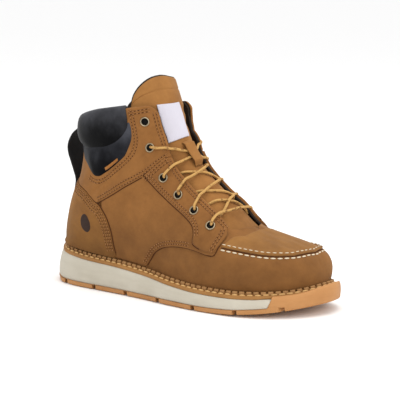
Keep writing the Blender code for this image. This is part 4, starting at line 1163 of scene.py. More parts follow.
def scatter(name: str, bm: bmesh.types.BMesh, places: Sequence[Matrix],
            sharp: float = 180.0) -> bpy.types.Object:
    """Copies of one small shape, each set by a matrix.

    Args:
        name: the new object's name.
        bm: the small shape; it is used up.
        places: a matrix for every copy.
        sharp: angle in degrees from which edges stay sharp.

    Returns:
        One object with all copies.
    """
    shape = bpy.data.meshes.new(name + "_shape")
    bm.to_mesh(shape)
    bm.free()
    whole = bmesh.new()
    for place in places:
        copy = shape.copy()
        copy.transform(place)
        whole.from_mesh(copy)
        bpy.data.meshes.remove(copy)
    bpy.data.meshes.remove(shape)
    return finish_mesh(name, whole, sharp)


def stand(point: Array, ahead: Array, up: Array, size: tuple[float, float, float]) -> Matrix:
    """Matrix that sets a unit shape on a place.

    Args:
        point: where its middle goes.
        ahead: direction of its X axis.
        up: rough direction of its Z axis.
        size: scale along X, Y and Z.

    Returns:
        The matrix.
    """
    ahead = Vector(ahead).normalized()
    side = Vector(up).cross(ahead).normalized()
    turn = Matrix((ahead, side, ahead.cross(side))).transposed().to_4x4()
    turn.translation = Vector(point)
    return turn @ Matrix.Diagonal((*size, 1.0))


@dataclass
class StitchBook:
    """Collects stitches by thread and shadow lines, and makes one mesh of each kind."""

    rows: dict = field(default_factory=dict)
    lines: list = field(default_factory=list)

    def add(self, thread: Thread, point: Array, ahead: Array, up: Array, length: float,
            radius: float, flat: float = 0.8) -> None:
        """Add one stitch.

        Args:
            thread: the thread's kind.
            point: the stitch's middle.
            ahead: its direction.
            up: outward direction.
            length: its length.
            radius: its half width.
            flat: height as a share of the width.
        """
        place = stand(point, ahead, up, (0.5 * length, radius, radius * flat))
        self.rows.setdefault(thread, []).append(place)

    def sew(self, line: SkinLine, lift: float, thread: Thread = Thread.TONAL,
            pitch: float = 3.0 * MM, length: float = 2.7 * MM, radius: float = 0.33 * MM) -> None:
        """Sew along a line of the skin.

        Args:
            line: where.
            lift: height above the skin.
            thread: the thread's kind.
            pitch: spacing of the stitches.
            length: length of one stitch.
            radius: half width of one stitch.
        """
        if len(line.s) < 4:
            return
        s, w = line.even(pitch)
        points = FORM.skin(s, w, lift)
        ahead = np.gradient(points, axis=0) if len(points) > 1 else np.array([[1.0, 0.0, 0.0]])
        if thread is Thread.TONAL:
            points = points + FORM.normal(s, w) * 0.18 * MM
        for point, step, up in zip(points, ahead, FORM.normal(s, w)):
            self.add(thread, point, step, up, length, radius)
        # Tonal rows also get a line of painted shade beneath their stitches
        if thread is Thread.TONAL:
            self.shade(line, lift - 0.20 * MM, 0.55 * MM)

    def shade(self, line: SkinLine, lift: float, radius: float) -> None:
        """Lay a thin dark line of painted shade, in a stitch row's groove or at a piece's edge."""
        if len(line.s) < 4:
            return
        s, w = line.even(1.6 * MM)
        if len(s) > 3:
            self.lines.append((FORM.skin(s, w, lift), radius))

    def finish(self, finishes: dict, shadow: bpy.types.Material) -> None:
        """Make the meshes."""
        for thread, places in self.rows.items():
            bm = bmesh.new()
            bmesh.ops.create_uvsphere(bm, u_segments=6, v_segments=5, radius=1.0,
                                      matrix=Matrix.Rotation(math.pi / 2.0, 4, "Y"))
            declare(scatter("stitches_" + thread.value, bm, places), [finishes[thread]])
        # The dark lines of painted shade become one mesh
        tubes = [tube_mesh("line", points, radius, 6) for points, radius in self.lines]
        declare(join_pieces("seam_grooves", tubes), [shadow])


# Sole

@dataclass
class Sole:
    """Gum outsole with its toe wrap, cream midsole and insole."""

    wrap_start: float = 114.6 * MM
    wrap_slant: float = 3.0 * MM
    midsole_tuck: float = 2.0 * MM
    heel_tuck: float = 3.0 * MM
    notch_width: float = 4.4 * MM
    notch_depth: float = 4.2 * MM
    tread_depth: float = 2.4 * MM
    notch_reach: float = 9.0 * MM
    lip_inset: float = 3.3 * MM
    notches: tuple = (0.095, 0.225, 0.360, 0.500, 0.645, 0.792, 0.915)
    stations: int = 150

    def heel_share(self, x: Array) -> Array:
        """1 at the heel's back, 0 further on."""
        return ease((-x / FORM.sole_length - 0.38) / 0.12)

    def slab(self, turns: Array, rings: Sequence[tuple], square: bool = False) -> bmesh.types.BMesh:
        """Closed slab from rings of (inset, height), bridged one to the next.

        Args:
            turns: turn angles of the stations, heel to toe.
            rings: inset and height functions of the station's x, bottom to top.
            square: whether the insets run straight across the sole.

        Returns:
            The slab as a bmesh.
        """
        bm = bmesh.new()
        loops = []
        for inset, height in rings:
            ring = []
            for side, order in ((-1, turns), (1, turns[1:-1][::-1])):
                station = FORM.outline(order, side)[:, 0]
                points = FORM.rim(order, side, inset(station), square)
                z = height(points[:, 0], station)
                ring += [(p[0], p[1], h) for p, h in zip(points, z)]
            loops.append(ring_edges(bm, ring))
        for lower, upper in zip(loops, loops[1:]):
            bmesh.ops.bridge_loops(bm, edges=lower + upper)
        for edges in (loops[0], loops[-1]):
            bmesh.ops.triangle_fill(bm, edges=edges, use_beauty=True)
        bmesh.ops.recalc_face_normals(bm, faces=bm.faces)
        return bm

    def midsole(self, material: bpy.types.Material) -> None:
        """Build the cream wedge."""
        turns = np.linspace(0.0, math.pi, self.stations)

        def inset(share: float) -> Callable[[Array], Array]:
            """Inset of one ring, as a share of the tuck."""
            def depth(x: Array) -> Array:
                """Inset at x."""
                tuck = self.midsole_tuck + self.heel_tuck * self.heel_share(x)
                return share * tuck + 0.2 * MM
            return depth

        def side(share: float) -> Callable[[Array, Array], Array]:
            """Height of one ring, as a share of the wedge."""
            def height(x: Array, station: Array) -> Array:
                """Height at x."""
                low = FORM.underside(x) + FORM.outsole_thickness
                return low + share * (FORM.platform(x) - low)
            return height

        rings = [(inset(i), side(h)) for i, h in
                 ((0.45, 0.0), (0.12, 0.05), (0.0, 0.14), (0.02, 0.30), (0.12, 0.46),
                  (0.3, 0.62), (0.55, 0.8), (0.82, 0.93), (1.15, 1.0))]
        bm = self.slab(turns, rings)
        high = self.wrap_start + self.wrap_slant
        foot = Vector((self.wrap_start, 0.0,
                       float(FORM.underside(np.array(self.wrap_start))) + FORM.outsole_thickness))
        head = Vector((high, 0.0, float(FORM.platform(high))))
        slant = Vector((foot.z - head.z, 0.0, head.x - foot.x)).normalized()
        cut = bmesh.ops.bisect_plane(bm, geom=bm.verts[:] + bm.edges[:] + bm.faces[:],
                                     plane_co=foot + slant * 0.3 * MM, plane_no=slant,
                                     clear_inner=True, dist=1e-6)
        rim = [item for item in cut["geom_cut"] if isinstance(item, bmesh.types.BMEdge)]
        bmesh.ops.contextual_create(bm, geom=rim)
        bmesh.ops.recalc_face_normals(bm, faces=bm.faces)
        declare(finish_mesh("cream_midsole", bm, 42.0), [material], ["midsole"])

    def outsole(self, material: bpy.types.Material) -> None:
        """Build the gum outsole and cut its cross grooves."""
        high = self.wrap_start + self.wrap_slant
        marks = [math.acos(1.0 - 2.0 * (x / FORM.sole_length + 0.5))
                 for x in (self.wrap_start, high)]
        even = np.linspace(0.0, math.pi, self.stations)
        even = even[(even < marks[0] - 1e-4) | (even > marks[1] + 1e-4)]
        turns = np.unique(np.concatenate([even, marks]))

        def const(value: float) -> Callable[[Array], Array]:
            """The same inset all round."""
            return lambda x: np.full_like(x, value)

        def top(rise: float) -> Callable[[Array, Array], Array]:
            """Ring at the wrap's upper edge."""
            def height(x: Array, station: Array) -> Array:
                """Height at a station."""
                flat = FORM.underside(x) + FORM.outsole_thickness
                tip = 1.3 * MM * ease((x - 0.136) / 0.012) * (rise > 0.0)
                return np.where(station < high - 1e-6, flat, FORM.platform(x) + rise + tip)
            return height

        def low(rise: float) -> Callable[[Array, Array], Array]:
            """Ring above the ground."""
            return lambda x, station: FORM.underside(x) + rise

        def part(share: float) -> Callable[[Array, Array], Array]:
            """Ring up the wrap's wall."""
            def height(x: Array, station: Array) -> Array:
                """Height at a station."""
                first = FORM.underside(x) + FORM.outsole_thickness
                whole = first + share * (FORM.platform(x) - first)
                return np.where(station < high - 1e-6, first, whole)
            return height

        lip = 0.85 * FORM.welt_thickness
        piece = finish_mesh("gum_outsole", self.slab(turns, [
            (const(2.6 * MM), low(0.0)), (const(1.1 * MM), low(0.35 * MM)),
            (const(0.5 * MM), low(1.4 * MM)), (const(0.35 * MM), low(3.6 * MM)),
            (const(0.25 * MM), part(0.0)), (const(0.0), part(0.35)), (const(0.2 * MM), part(0.8)),
            (const(0.7 * MM), top(0.2 * lip)), (const(1.3 * MM), top(0.7 * lip)),
            (const(2.2 * MM), top(0.97 * lip)), (const(self.lip_inset - 0.3 * MM), top(lip)),
            (const(self.lip_inset), top(0.0)),
        ], square=True), 42.0)
        cutters = [self.notch(along) for along in self.notches]
        for cutter in cutters:
            groove = piece.modifiers.new("groove", "BOOLEAN")
            groove.operation = "DIFFERENCE"
            groove.solver = "EXACT"
            groove.object = cutter
        graph = bpy.context.evaluated_depsgraph_get()
        mesh = bpy.data.meshes.new_from_object(piece.evaluated_get(graph))
        piece.modifiers.clear()
        piece.data = mesh
        for cutter in cutters:
            bpy.data.objects.remove(cutter, do_unlink=True)
        mesh.shade_smooth()
        mesh.set_sharp_from_angle(angle=math.radians(42.0))
        declare(piece, [material], ["outsole"])

    def notch(self, along: float) -> bpy.types.Object:
        """Cutter of one cross groove, deeper where it leaves the side."""
        x = (along - 0.5) * FORM.sole_length
        turn = np.array(math.acos(1.0 - 2.0 * along))
        floor = float(FORM.underside(np.array(x)))
        outer = float(FORM.outline(turn, -1)[1])
        inner = float(FORM.outline(turn, 1)[1])
        past = 12.0 * MM
        reach = self.notch_reach
        shape = ((outer - past, -past), (inner + past, -past), (inner + past, self.notch_depth),
                 (inner - reach, self.notch_depth), (inner - reach - 2 * MM, self.tread_depth),
                 (outer + reach + 2 * MM, self.tread_depth), (outer + reach, self.notch_depth),
                 (outer - past, self.notch_depth))
        bm = bmesh.new()
        face = bm.faces.new([bm.verts.new((x - 0.5 * self.notch_width, y, floor + z))
                             for y, z in shape])
        pushed = bmesh.ops.extrude_face_region(bm, geom=[face])["geom"]
        bmesh.ops.translate(bm, verts=[v for v in pushed if isinstance(v, bmesh.types.BMVert)],
                            vec=(self.notch_width, 0.0, 0.0))
        bmesh.ops.recalc_face_normals(bm, faces=bm.faces)
        return finish_mesh("notch", bm)

    def insole(self, material: bpy.types.Material) -> None:
        """Build the cushioned insole."""
        turns = np.linspace(0.0, math.pi, 90)
        inset = FORM.feather_inset + 3.4 * MM

        def level(rise: float) -> Callable[[Array, Array], Array]:
            """Ring above the welt."""
            return lambda x, station: FORM.platform(x) + FORM.welt_thickness + rise

        rings = [(lambda x, d=depth: np.full_like(x, d), level(rise)) for depth, rise in
                 ((inset + 1.5 * MM, -2.6 * MM), (inset, 0.8 * MM), (inset + 0.1 * MM, 2.4 * MM),
                  (inset + 0.8 * MM, 3.2 * MM), (inset + 3.0 * MM, 3.3 * MM))]
        piece = finish_mesh("insole_board", self.slab(turns, rings), 42.0)
        mesh = piece.data
        layer = mesh.uv_layers.new(name="UVMap")
        for loop in mesh.loops:
            place = mesh.vertices[loop.vertex_index].co
            layer.data[loop.index].uv = (place.x * 1000.0, place.y * 1000.0)
        declare(piece, [material], ["insole"])


@dataclass
class Welt:
    """Welt strip with its row of lock stitches and the upright rib cut into teeth."""

    edge: float = 2.0 * MM
    heel_tuck: float = 3.0 * MM
    wrap_start: float = 111.6 * MM
    wrap_length: float = 6.0 * MM
    wrap_draw: float = 1.7 * MM
    rib_height: float = 3.0 * MM
    rib_thickness: float = 1.9 * MM
    rib_standoff: float = 1.1 * MM
    tooth_pitch: float = 6.4 * MM
    tooth_gap: float = 1.9 * MM
    stitch_pitch: float = 7.0 * MM
    stitch_length: float = 5.6 * MM

    def edge_inset(self, x: Array) -> Array:
        """Inset of the strip's outer edge."""
        heel = ease((-x / FORM.sole_length - 0.38) / 0.12)
        wrap = ease((x - self.wrap_start + self.wrap_length) / self.wrap_length)
        return self.edge + self.heel_tuck * heel + self.wrap_draw * wrap

    def loop(self, inset: Callable[[Array], Array], rise: float, count: int = 400) -> Array:
        """Closed line round the sole at an inset, rise above the platform."""
        turns = np.linspace(0.0, math.pi, count)
        parts = []
        for side, order in ((-1, turns), (1, turns[1:-1][::-1])):
            station = FORM.outline(order, side)[:, 0]
            points = FORM.rim(order, side, inset(station))
            parts.append(np.column_stack([points, FORM.platform(points[:, 0]) + rise]))
        return np.vstack(parts)

    def strip(self, material: bpy.types.Material) -> None:
        """Build the strip itself."""
        rib_in = FORM.feather_inset - self.rib_standoff
        top = FORM.welt_thickness
        core = rib_in - 0.55 * self.rib_thickness
        profile = (
            (lambda x: self.edge_inset(x) + 0.9 * MM, 0.1 * MM),
            (lambda x: self.edge_inset(x) + 0.2 * MM, 0.3 * MM),
            (lambda x: self.edge_inset(x), 1.0 * MM),
            (lambda x: self.edge_inset(x) + 0.1 * MM, top - 0.9 * MM),
            (lambda x: self.edge_inset(x) + 0.6 * MM, top - 0.25 * MM),
            (lambda x: self.edge_inset(x) + 1.3 * MM, top),
            (lambda x: np.full_like(x, core - 1.2 * MM), top - 0.1 * MM),
            (lambda x: np.full_like(x, core), top - 0.1 * MM),
            (lambda x: np.full_like(x, core + 0.3 * MM), top + 0.5 * self.rib_height),
            (lambda x: np.full_like(x, rib_in), top + 0.5 * self.rib_height),
            (lambda x: np.full_like(x, rib_in + 4.5 * MM), top + 0.3 * MM),
            (lambda x: np.full_like(x, rib_in + 4.5 * MM), 0.1 * MM),
        )
        bm = bmesh.new()
        loops = []
        for inset, rise in profile:
            loops.append(ring_edges(bm, self.loop(inset, rise, 160)))
        for lower, upper in zip(loops, loops[1:] + loops[:1]):
            bmesh.ops.bridge_loops(bm, edges=lower + upper)
        bmesh.ops.recalc_face_normals(bm, faces=bm.faces)
        declare(finish_mesh("welt_strip", bm, 60.0), [material], ["welt"])

    def marks(self, line: Array, pitch: float) -> tuple[Array, Array]:
        """Even places and directions round a closed line."""
        closed = np.vstack([line, line[:1]])
        run = run_along(closed)
        count = int(round(run[-1] / pitch))
        at = (np.arange(count) + 0.5) * run[-1] / count
        points = np.stack([np.interp(at, run, closed[:, k]) for k in range(3)], -1)
        ahead = np.roll(points, -1, axis=0) - np.roll(points, 1, axis=0)
        return points, ahead / np.linalg.norm(ahead, axis=1, keepdims=True)

    def teeth(self, material: bpy.types.Material) -> None:
        """Build the rib's teeth as small rounded blocks."""
        inset = FORM.feather_inset - self.rib_standoff - 0.5 * self.rib_thickness - 0.35 * MM
        rise = FORM.welt_thickness + 0.5 * self.rib_height - 0.1 * MM
        line = self.loop(lambda x: np.full_like(x, inset), rise)
        size = (self.tooth_pitch - self.tooth_gap, self.rib_thickness,
                self.rib_height + 0.3 * MM)
        bm = bmesh.new()
        bmesh.ops.create_cube(bm, size=1.0, matrix=Matrix.Diagonal((*size, 1.0)))
        bmesh.ops.bevel(bm, geom=bm.edges[:], offset=0.45 * MM, affect="EDGES", segments=2,
                        profile=0.5, material=-1)
        places = [stand(point, ahead, (0.0, 0.0, 1.0), (1.0, 1.0, 1.0))
                  for point, ahead in zip(*self.marks(line, self.tooth_pitch))]
        declare(scatter("welt_teeth", bm, places, 60.0), [material])

    def stitches(self, book: StitchBook) -> None:
        """Add the row of thick lock stitches on the strip."""
        line = self.loop(lambda x: self.edge_inset(x) + 2.5 * MM, FORM.welt_thickness + 0.25 * MM)
        for point, ahead in zip(*self.marks(line, self.stitch_pitch)):
            side = np.cross([0.0, 0.0, 1.0], ahead)
            up = np.array([0.0, 0.0, 1.0]) - 0.35 * side
            book.add(Thread.GOLD, point, ahead, up, self.stitch_length, 1.15 * MM, 0.75)


# Upper

@dataclass
class Upper:
    """The leather upper: shell with lining, and the pieces sewn on it."""

    wall: float = 2.2 * MM
    quarter_top: float = 1.5 * MM
    eyestay_top: float = 2.7 * MM
    shaft_top: float = 2.0 * MM
    counter_top: float = 2.5 * MM
    apron_top: float = 1.0 * MM
    apron_ridge: float = 1.5 * MM
    edge: float = 1.2 * MM
    rib_clearance: float = 3.0 * MM
    mark_place: tuple[float, float] = (0.606, -0.752)
    mark_half_height: float = 8.6 * MM
    mark_half_width: float = 6.0 * MM

    def corner(self, share: Array) -> Array:
        """How far the flap's rounded top corner drops, in s, at a share back from its edge."""
        return 0.10 * np.clip(1.0 - share / 0.075, 0.0, 1.0) ** 2

    def above_rib(self, s: Array, side: int) -> Array:
        """Share of the half girth where the skin is clear of the rib, by s."""
        table = []
        steps = np.linspace(0.40, 0.90, 61)
        for step in steps:
            points, run = FORM.half_section(float(step), side)
            climb = points[:, 2] - FORM.feather_height(points[:, 0])
            table.append(1.0 - float(np.interp(self.rib_clearance, climb, run)) / run[-1])
        return np.interp(s, steps, table)

    def shell(self, nubuck: bpy.types.Material, lining: bpy.types.Material) -> None:
        """Build the base shell with its lining, one half grid a side, welded."""
        halves = []
        s_lines = np.unique(np.concatenate([
            np.linspace(0.004, 0.29, 70), np.linspace(0.29, 0.335, 26),
            np.linspace(0.335, FORM.heel_step, 80), np.linspace(FORM.heel_step, 1.0, 80)]))
        for side in Side:
            def place(a: Array, b: Array, sign: int = side.value) -> tuple[Array, Array]:
                """Places of one half of the shell."""
                w = sign * (1.0 - (1.0 - FORM.throat(a)) * b)
                drop = self.corner((1.0 - b) * 0.83) * ease((a - 0.8) / 0.2)
                s = a - drop - 0.008 * ease((b - 0.70) / 0.06) * ease((a - 0.9) / 0.1)
                return FORM.skin(s, w), FORM.normal(s, w)
            halves.append(grid_mesh("half", s_lines, np.linspace(0.0, 1.0, 71), place,
                                    (400.0, 150.0)))
        bm = bmesh.new()
        for half in halves:
            bm.from_mesh(half.data)
            bpy.data.objects.remove(half, do_unlink=True)
        bmesh.ops.remove_doubles(bm, verts=bm.verts, dist=0.02 * MM)
        bmesh.ops.recalc_face_normals(bm, faces=bm.faces)
        low = min(bm.verts, key=lambda vert: abs(vert.co.x - 0.10) + abs(vert.co.z - 0.04))
        if low.normal.y * low.co.y < 0.0:
            bmesh.ops.reverse_faces(bm, faces=bm.faces)
        piece = finish_mesh("leather_shell", bm, 60.0)
        declare(piece, [nubuck, lining], ["upper"])
        thicken(piece, self.wall, inner=1, rim=1)

    def panel(self, name: str, surface: Callable[[Array, Array], tuple[Array, Array]],
              size: tuple[float, float], low: float, top: Union[float, Callable],
              counts: tuple[int, int], material: bpy.types.Material,
              nodes: Iterable[str] = ()) -> bpy.types.Object:
        """A leather piece with rounded edges, laid on the skin.

        Args:
            name: the piece's name.
            surface: gives s and w for the shares a and b.
            size: length along a and along b, in metres.
            low: height of its edge above the skin.
            top: height of its face above the skin, or a function of a and b.
            counts: segments along a and b.
            material: its material.
            nodes: CAD nodes it replaces.

        Returns:
            The piece.
        """
        def place(a: Array, b: Array) -> tuple[Array, Array]:
            """Places of the piece, with rounded edges."""
            s, w = surface(a, b)
            full = top(a, b) if callable(top) else top
            crown = rounded(a, size[0], self.edge) * rounded(b, size[1], self.edge)
            return FORM.skin(s, w, low + (full - low) * crown), FORM.normal(s, w)

        piece = grid_mesh(name, spread(size[0], self.edge, counts[0]),
                          spread(size[1], self.edge, counts[1]), place,
                          (size[0] * 1000.0, size[1] * 1000.0))
        declare(piece, [material], nodes)
        thicken(piece, 0.5 * MM)
        return piece

    def quarter(self, side: Side, material: bpy.types.Material) -> None:
        """Build one quarter."""
        sign = side.value

        def surface(a: Array, b: Array) -> tuple[Array, Array]:
            """Quarter: a down from the flap, b back."""
            front = read(QUARTER, 1, a)
            back = read(QUARTER, 2, a) + 0.012 * ease(a / 0.02)
            s = front + (back - front) * b
            edge = FORM.flap_edge(s)
            low = self.above_rib(s, sign)
            return s, sign * (edge + (low - edge) * a)

        self.panel("quarter_leather_" + side.name.lower(), surface, (0.090, 0.100), -0.1 * MM,
                   self.quarter_top, (46, 56), material, ["quarter_" + side.name.lower()])

    def eyestay(self, side: Side, material: bpy.types.Material) -> None:
        """Build one eyestay band."""
        def surface(a: Array, b: Array) -> tuple[Array, Array]:
            """Band: a up the boot, b away from the flap."""
            s = EYESTAY[0][0] + (EYESTAY[-1][0] - EYESTAY[0][0]) * a
            s = s - 0.016 * np.clip(1.0 - b / 0.3, 0.0, 1.0) ** 2 * ease((a - 0.6) / 0.4)
            s = s + 0.034 * np.exp(-b / 0.16) * np.clip(1.0 - a / 0.3, 0.0, 1.0) ** 2
            edge = FORM.flap_edge(s)
            return s, side.value * (edge + (read(EYESTAY, 1, s) - edge) * b)

        self.panel("eyestay_leather_" + side.name.lower(), surface, (0.120, 0.030), 0.8 * MM,
                   self.eyestay_top, (70, 14), material, ["eyestay_" + side.name.lower()])

    def shaft(self, side: Side, material: bpy.types.Material) -> None:
        """Build one shaft panel, from the flap's edge to the back seam."""
        def surface(a: Array, b: Array) -> tuple[Array, Array]:
            """Shaft: a up, b from the flap to the back seam."""
            share = 0.142 + 0.858 * b
            low = read(SHAFT_LOW, 1, share)
            s = low + (1.0 - self.corner(b) - low) * a
            edge = FORM.flap_edge(s)
            return s, side.value * (edge + (1.0 - edge) * b)

        self.panel("shaft_leather_" + side.name.lower(), surface, (0.060, 0.150), -0.1 * MM,
                   self.shaft_top, (40, 76), material)

    def counter(self, side: Side, material: bpy.types.Material) -> None:
        """Build one half of the heel counter."""
        def surface(a: Array, b: Array) -> tuple[Array, Array]:
            """Counter: a up the boot, b down to the welt."""
            s = COUNTER[0][0] + (COUNTER[-1][0] - COUNTER[0][0]) * a
            low = self.above_rib(s, side.value)
            edge = np.minimum(read(COUNTER, 1, s), low - 0.004)
            return s, side.value * (edge + (low - edge) * b)

        def place(a: Array, b: Array) -> tuple[Array, Array]:
            """Places of the counter, thin where it meets the welt."""
            s, w = surface(a, b)
            crown = rounded(a, 0.090, self.edge) * np.where(
                b < 0.5, rounded(b, 0.060, self.edge), 1.0)
            low_edge = np.clip((1.0 - b) * 0.060 / self.edge, 0.0, 1.0)
            open_low = ease((0.715 - s) / 0.02)
            crown = crown * (1.0 - open_low * (1.0 - np.sqrt(1.0 - (1.0 - low_edge) ** 2)))
            lift = -0.1 * MM + (self.counter_top + 0.1 * MM) * crown
            return FORM.skin(s, w, lift), FORM.normal(s, w)

        name = "counter_leather_" + side.name.lower()
        piece = grid_mesh(name, spread(0.090, self.edge, 60), spread(0.060, self.edge, 34), place,
                          (90.0, 60.0))
        nodes = ["counter"] if side is Side.OUTER else []
        declare(piece, [material], nodes)
        thicken(piece, 0.5 * MM)

    def stamp(self, material: bpy.types.Material) -> None:
        """Lay the bare dark oval where the heel carries a printed mark."""
        mark_s, mark_w = self.mark_place
        centre = FORM.at_place(mark_s, mark_w, 0.0)
        out = FORM.normal(np.array(mark_s), np.array(mark_w))
        side = np.cross(out, (0.0, 0.0, 1.0))
        side /= np.linalg.norm(side)
        up = np.cross(side, out)

        def place(a: Array, b: Array) -> tuple[Array, Array]:
            """Places of the oval, flat against the heel."""
            across = 2.0 * b - 1.0
            tall = (2.0 * a - 1.0) * np.sqrt(np.clip(1.0 - 0.96 * across ** 2, 0.0, 1.0))
            goal = (centre + self.mark_half_height * tall[..., None] * up
                    + self.mark_half_width * across[..., None] * side)
            s, w = FORM.nearest(goal, np.full(tall.shape, mark_s), np.full(tall.shape, mark_w))
            return FORM.skin(s, w, self.counter_top + 0.12 * MM), FORM.normal(s, w)

        piece = grid_mesh("heel_mark", np.linspace(0.0, 1.0, 15), crowded(21), place, (16.0, 10.0))
        declare(piece, [material])
        thicken(piece, 0.3 * MM)

    def apron_surface(self, a: Array, b: Array) -> tuple[Array, Array]:
        """Places of the apron: a from the toe back, b from the outer to the inner seam."""
        across = 2.0 * b - 1.0
        last = FORM.throat_start - 0.003
        last = last + (APRON[-1][0] - last) * ease((np.abs(across) - 0.5) / 0.2)
        first = APRON[0][0] + 0.010 * across ** 2
        s = first + (last - first) * a
        return s, across * read(APRON, 1, s)

    def apron(self, material: bpy.types.Material) -> None:
        """Build the apron with its raised seam."""
        def place(a: Array, b: Array) -> tuple[Array, Array]:
            """Places of the apron, with its raised edge."""
            s, w = self.apron_surface(a, b)
            side = (1.0 - np.abs(2.0 * b - 1.0)) * 0.038
            front = a * 0.052
            near = np.minimum(side, front)
            round_edge = np.sqrt(np.clip(1.0 - (1.0 - np.clip(near / (1.3 * MM), 0, 1)) ** 2, 0, 1))
            ridge = np.exp(-((near - 2.0 * MM) / (1.7 * MM)) ** 2)
            rise = 0.5 * self.apron_top + (self.apron_ridge + 0.3 * MM) * ridge
            back = rounded(a, 0.052, self.edge)
            back = np.where(a > 0.5, back, 1.0)
            lift = -0.2 * MM + (rise + 0.2 * MM) * round_edge * back
            return FORM.skin(s, w, lift), FORM.normal(s, w)

        lines_b = np.unique(np.concatenate([np.linspace(0.0, 0.09, 16), np.linspace(0.09, 0.91, 60),
                                            np.linspace(0.91, 1.0, 16)]))
        lines_a = np.unique(np.concatenate([np.linspace(0.0, 0.12, 16), np.linspace(0.12, 1.0, 56)]))
        piece = grid_mesh("apron_leather", lines_a, lines_b, place, (60.0, 80.0))
        declare(piece, [material], ["apron"])
        thicken(piece, 0.5 * MM)

    def flap_line(self, start: float, end: float, sign: int) -> SkinLine:
        """The flap's front edge between two places s."""
        steps = np.linspace(start, end, 60)
        return SkinLine(steps, sign * FORM.flap_edge(steps))

    def table_line(self, table: tuple, start: float, end: float, count: int,
                   sign: int) -> SkinLine:
        """The edge that a table gives, between two places s."""
        steps = np.linspace(start, end, count)
        return SkinLine(steps, sign * read(table, 1, steps))

    def quarter_line(self, start: float, end: float, count: int, sign: int) -> SkinLine:
        """The quarter's front edge between two shares down from the flap's edge."""
        share = np.linspace(start, end, count)
        s = read(QUARTER, 1, share)
        edge = FORM.flap_edge(s)
        return SkinLine(s, sign * (edge + (self.above_rib(s, sign) - edge) * share))

    def shaft_line(self, start: float, end: float, count: int, sign: int) -> SkinLine:
        """The shaft's lower edge between two shares of the half girth."""
        along = np.linspace(start, end, count)
        return SkinLine(read(SHAFT_LOW, 1, along), sign * along)

    def seams(self, book: StitchBook) -> None:
        """Sew every seam of the upper."""
        for side in Side:
            sign = side.value
            self.edges(book, sign)
            level = SkinLine(np.full(40, 0.572), sign * np.linspace(0.165, 0.335, 40))
            collar = SkinLine(np.full(30, 0.985), sign * np.linspace(0.215, 0.36, 30))
            pad = SkinLine.through([(s, sign * w) for s, w in PAD_SEAM])
            front_start = 0.05 if sign < 0 else 0.2
            for line, way, insets, top in (
                    (self.flap_line(0.585, 0.93, sign), -sign, (2.4, 5.2), self.shaft_top),
                    (self.flap_line(0.330, 0.556, sign), -sign, (2.4, 5.2), self.eyestay_top),
                    (level, -sign, (2.6, 5.2), self.eyestay_top),
                    (self.table_line(EYESTAY, 0.374, 0.566, 90, sign), sign, (2.2, 4.8),
                     self.eyestay_top),
                    (self.quarter_line(front_start, 0.49, 50, sign), sign, (2.4, 5.0),
                     self.eyestay_top),
                    (self.quarter_line(0.560, 0.985, 90, sign), sign, (2.2, 4.8),
                     self.quarter_top),
                    (self.shaft_line(0.155, 0.595, 90, sign), sign, (2.2, 5.0), self.shaft_top),
                    (self.table_line(COUNTER, 0.504, 0.835, 130, sign), -sign,
                     (1.8, 3.9, 6.0, 8.8), self.counter_top),
                    (pad, -sign, (2.2, 5.0), self.shaft_top),
                    (collar, -sign, (1.6, 4.2), self.shaft_top)):
                for inset in insets:
                    book.sew(line.shifted(way * inset * MM), top + 0.05 * MM)
        self.moc_seam(book)

    def edges(self, book: StitchBook, sign: int) -> None:
        """Lay the shadow lines at the edges of the pieces on one side."""
        band = self.table_line(EYESTAY, 0.345, 0.571, 90, sign)
        book.shade(band.shifted(-sign * 0.2 * MM), self.quarter_top, 0.6 * MM)
        top = SkinLine(np.full(30, 0.572), sign * np.linspace(0.20, 0.33, 30))
        book.shade(top.shifted(-sign * 0.3 * MM), self.shaft_top, 0.55 * MM)
        front_start = 0.03 if sign < 0 else 0.16
        book.shade(self.quarter_line(front_start, 0.985, 130, sign), 0.0, 0.65 * MM)
        book.shade(self.shaft_line(0.335, 0.598, 80, sign), self.quarter_top, 0.5 * MM)
        heel = self.table_line(COUNTER, 0.500, 0.846, 140, sign)
        book.shade(heel, self.shaft_top - 0.3 * MM, 0.6 * MM)

    def moc_line(self) -> SkinLine:
        """The apron's seam from the outer flap round the toe to the inner flap."""
        b = np.concatenate([np.zeros(90), np.linspace(0.0, 1.0, 120), np.ones(90)])
        a = np.concatenate([np.linspace(1.0, 0.0, 90), np.zeros(120), np.linspace(0.0, 1.0, 90)])
        s, w = self.apron_surface(a, b)
        keep = np.concatenate([[True], (np.abs(np.diff(s)) + np.abs(np.diff(w))) > 1e-6])
        return SkinLine(s[keep], w[keep])

    def moc_seam(self, book: StitchBook) -> None:
        """Sew the two cream rows of the apron's seam."""
        line = self.moc_line()
        # Line of painted shade along the apron's edge
        book.shade(line.shifted(-0.3 * MM), 0.05 * MM, 0.6 * MM)
        book.sew(line.shifted(-2.3 * MM), 0.3 * MM, Thread.CREAM, 6.0 * MM, 4.7 * MM, 0.8 * MM)
        book.sew(line.shifted(2.3 * MM), 0.5 * self.apron_top + self.apron_ridge + 0.3 * MM,
                 Thread.CREAM, 5.2 * MM, 3.7 * MM, 0.5 * MM)


# Collar

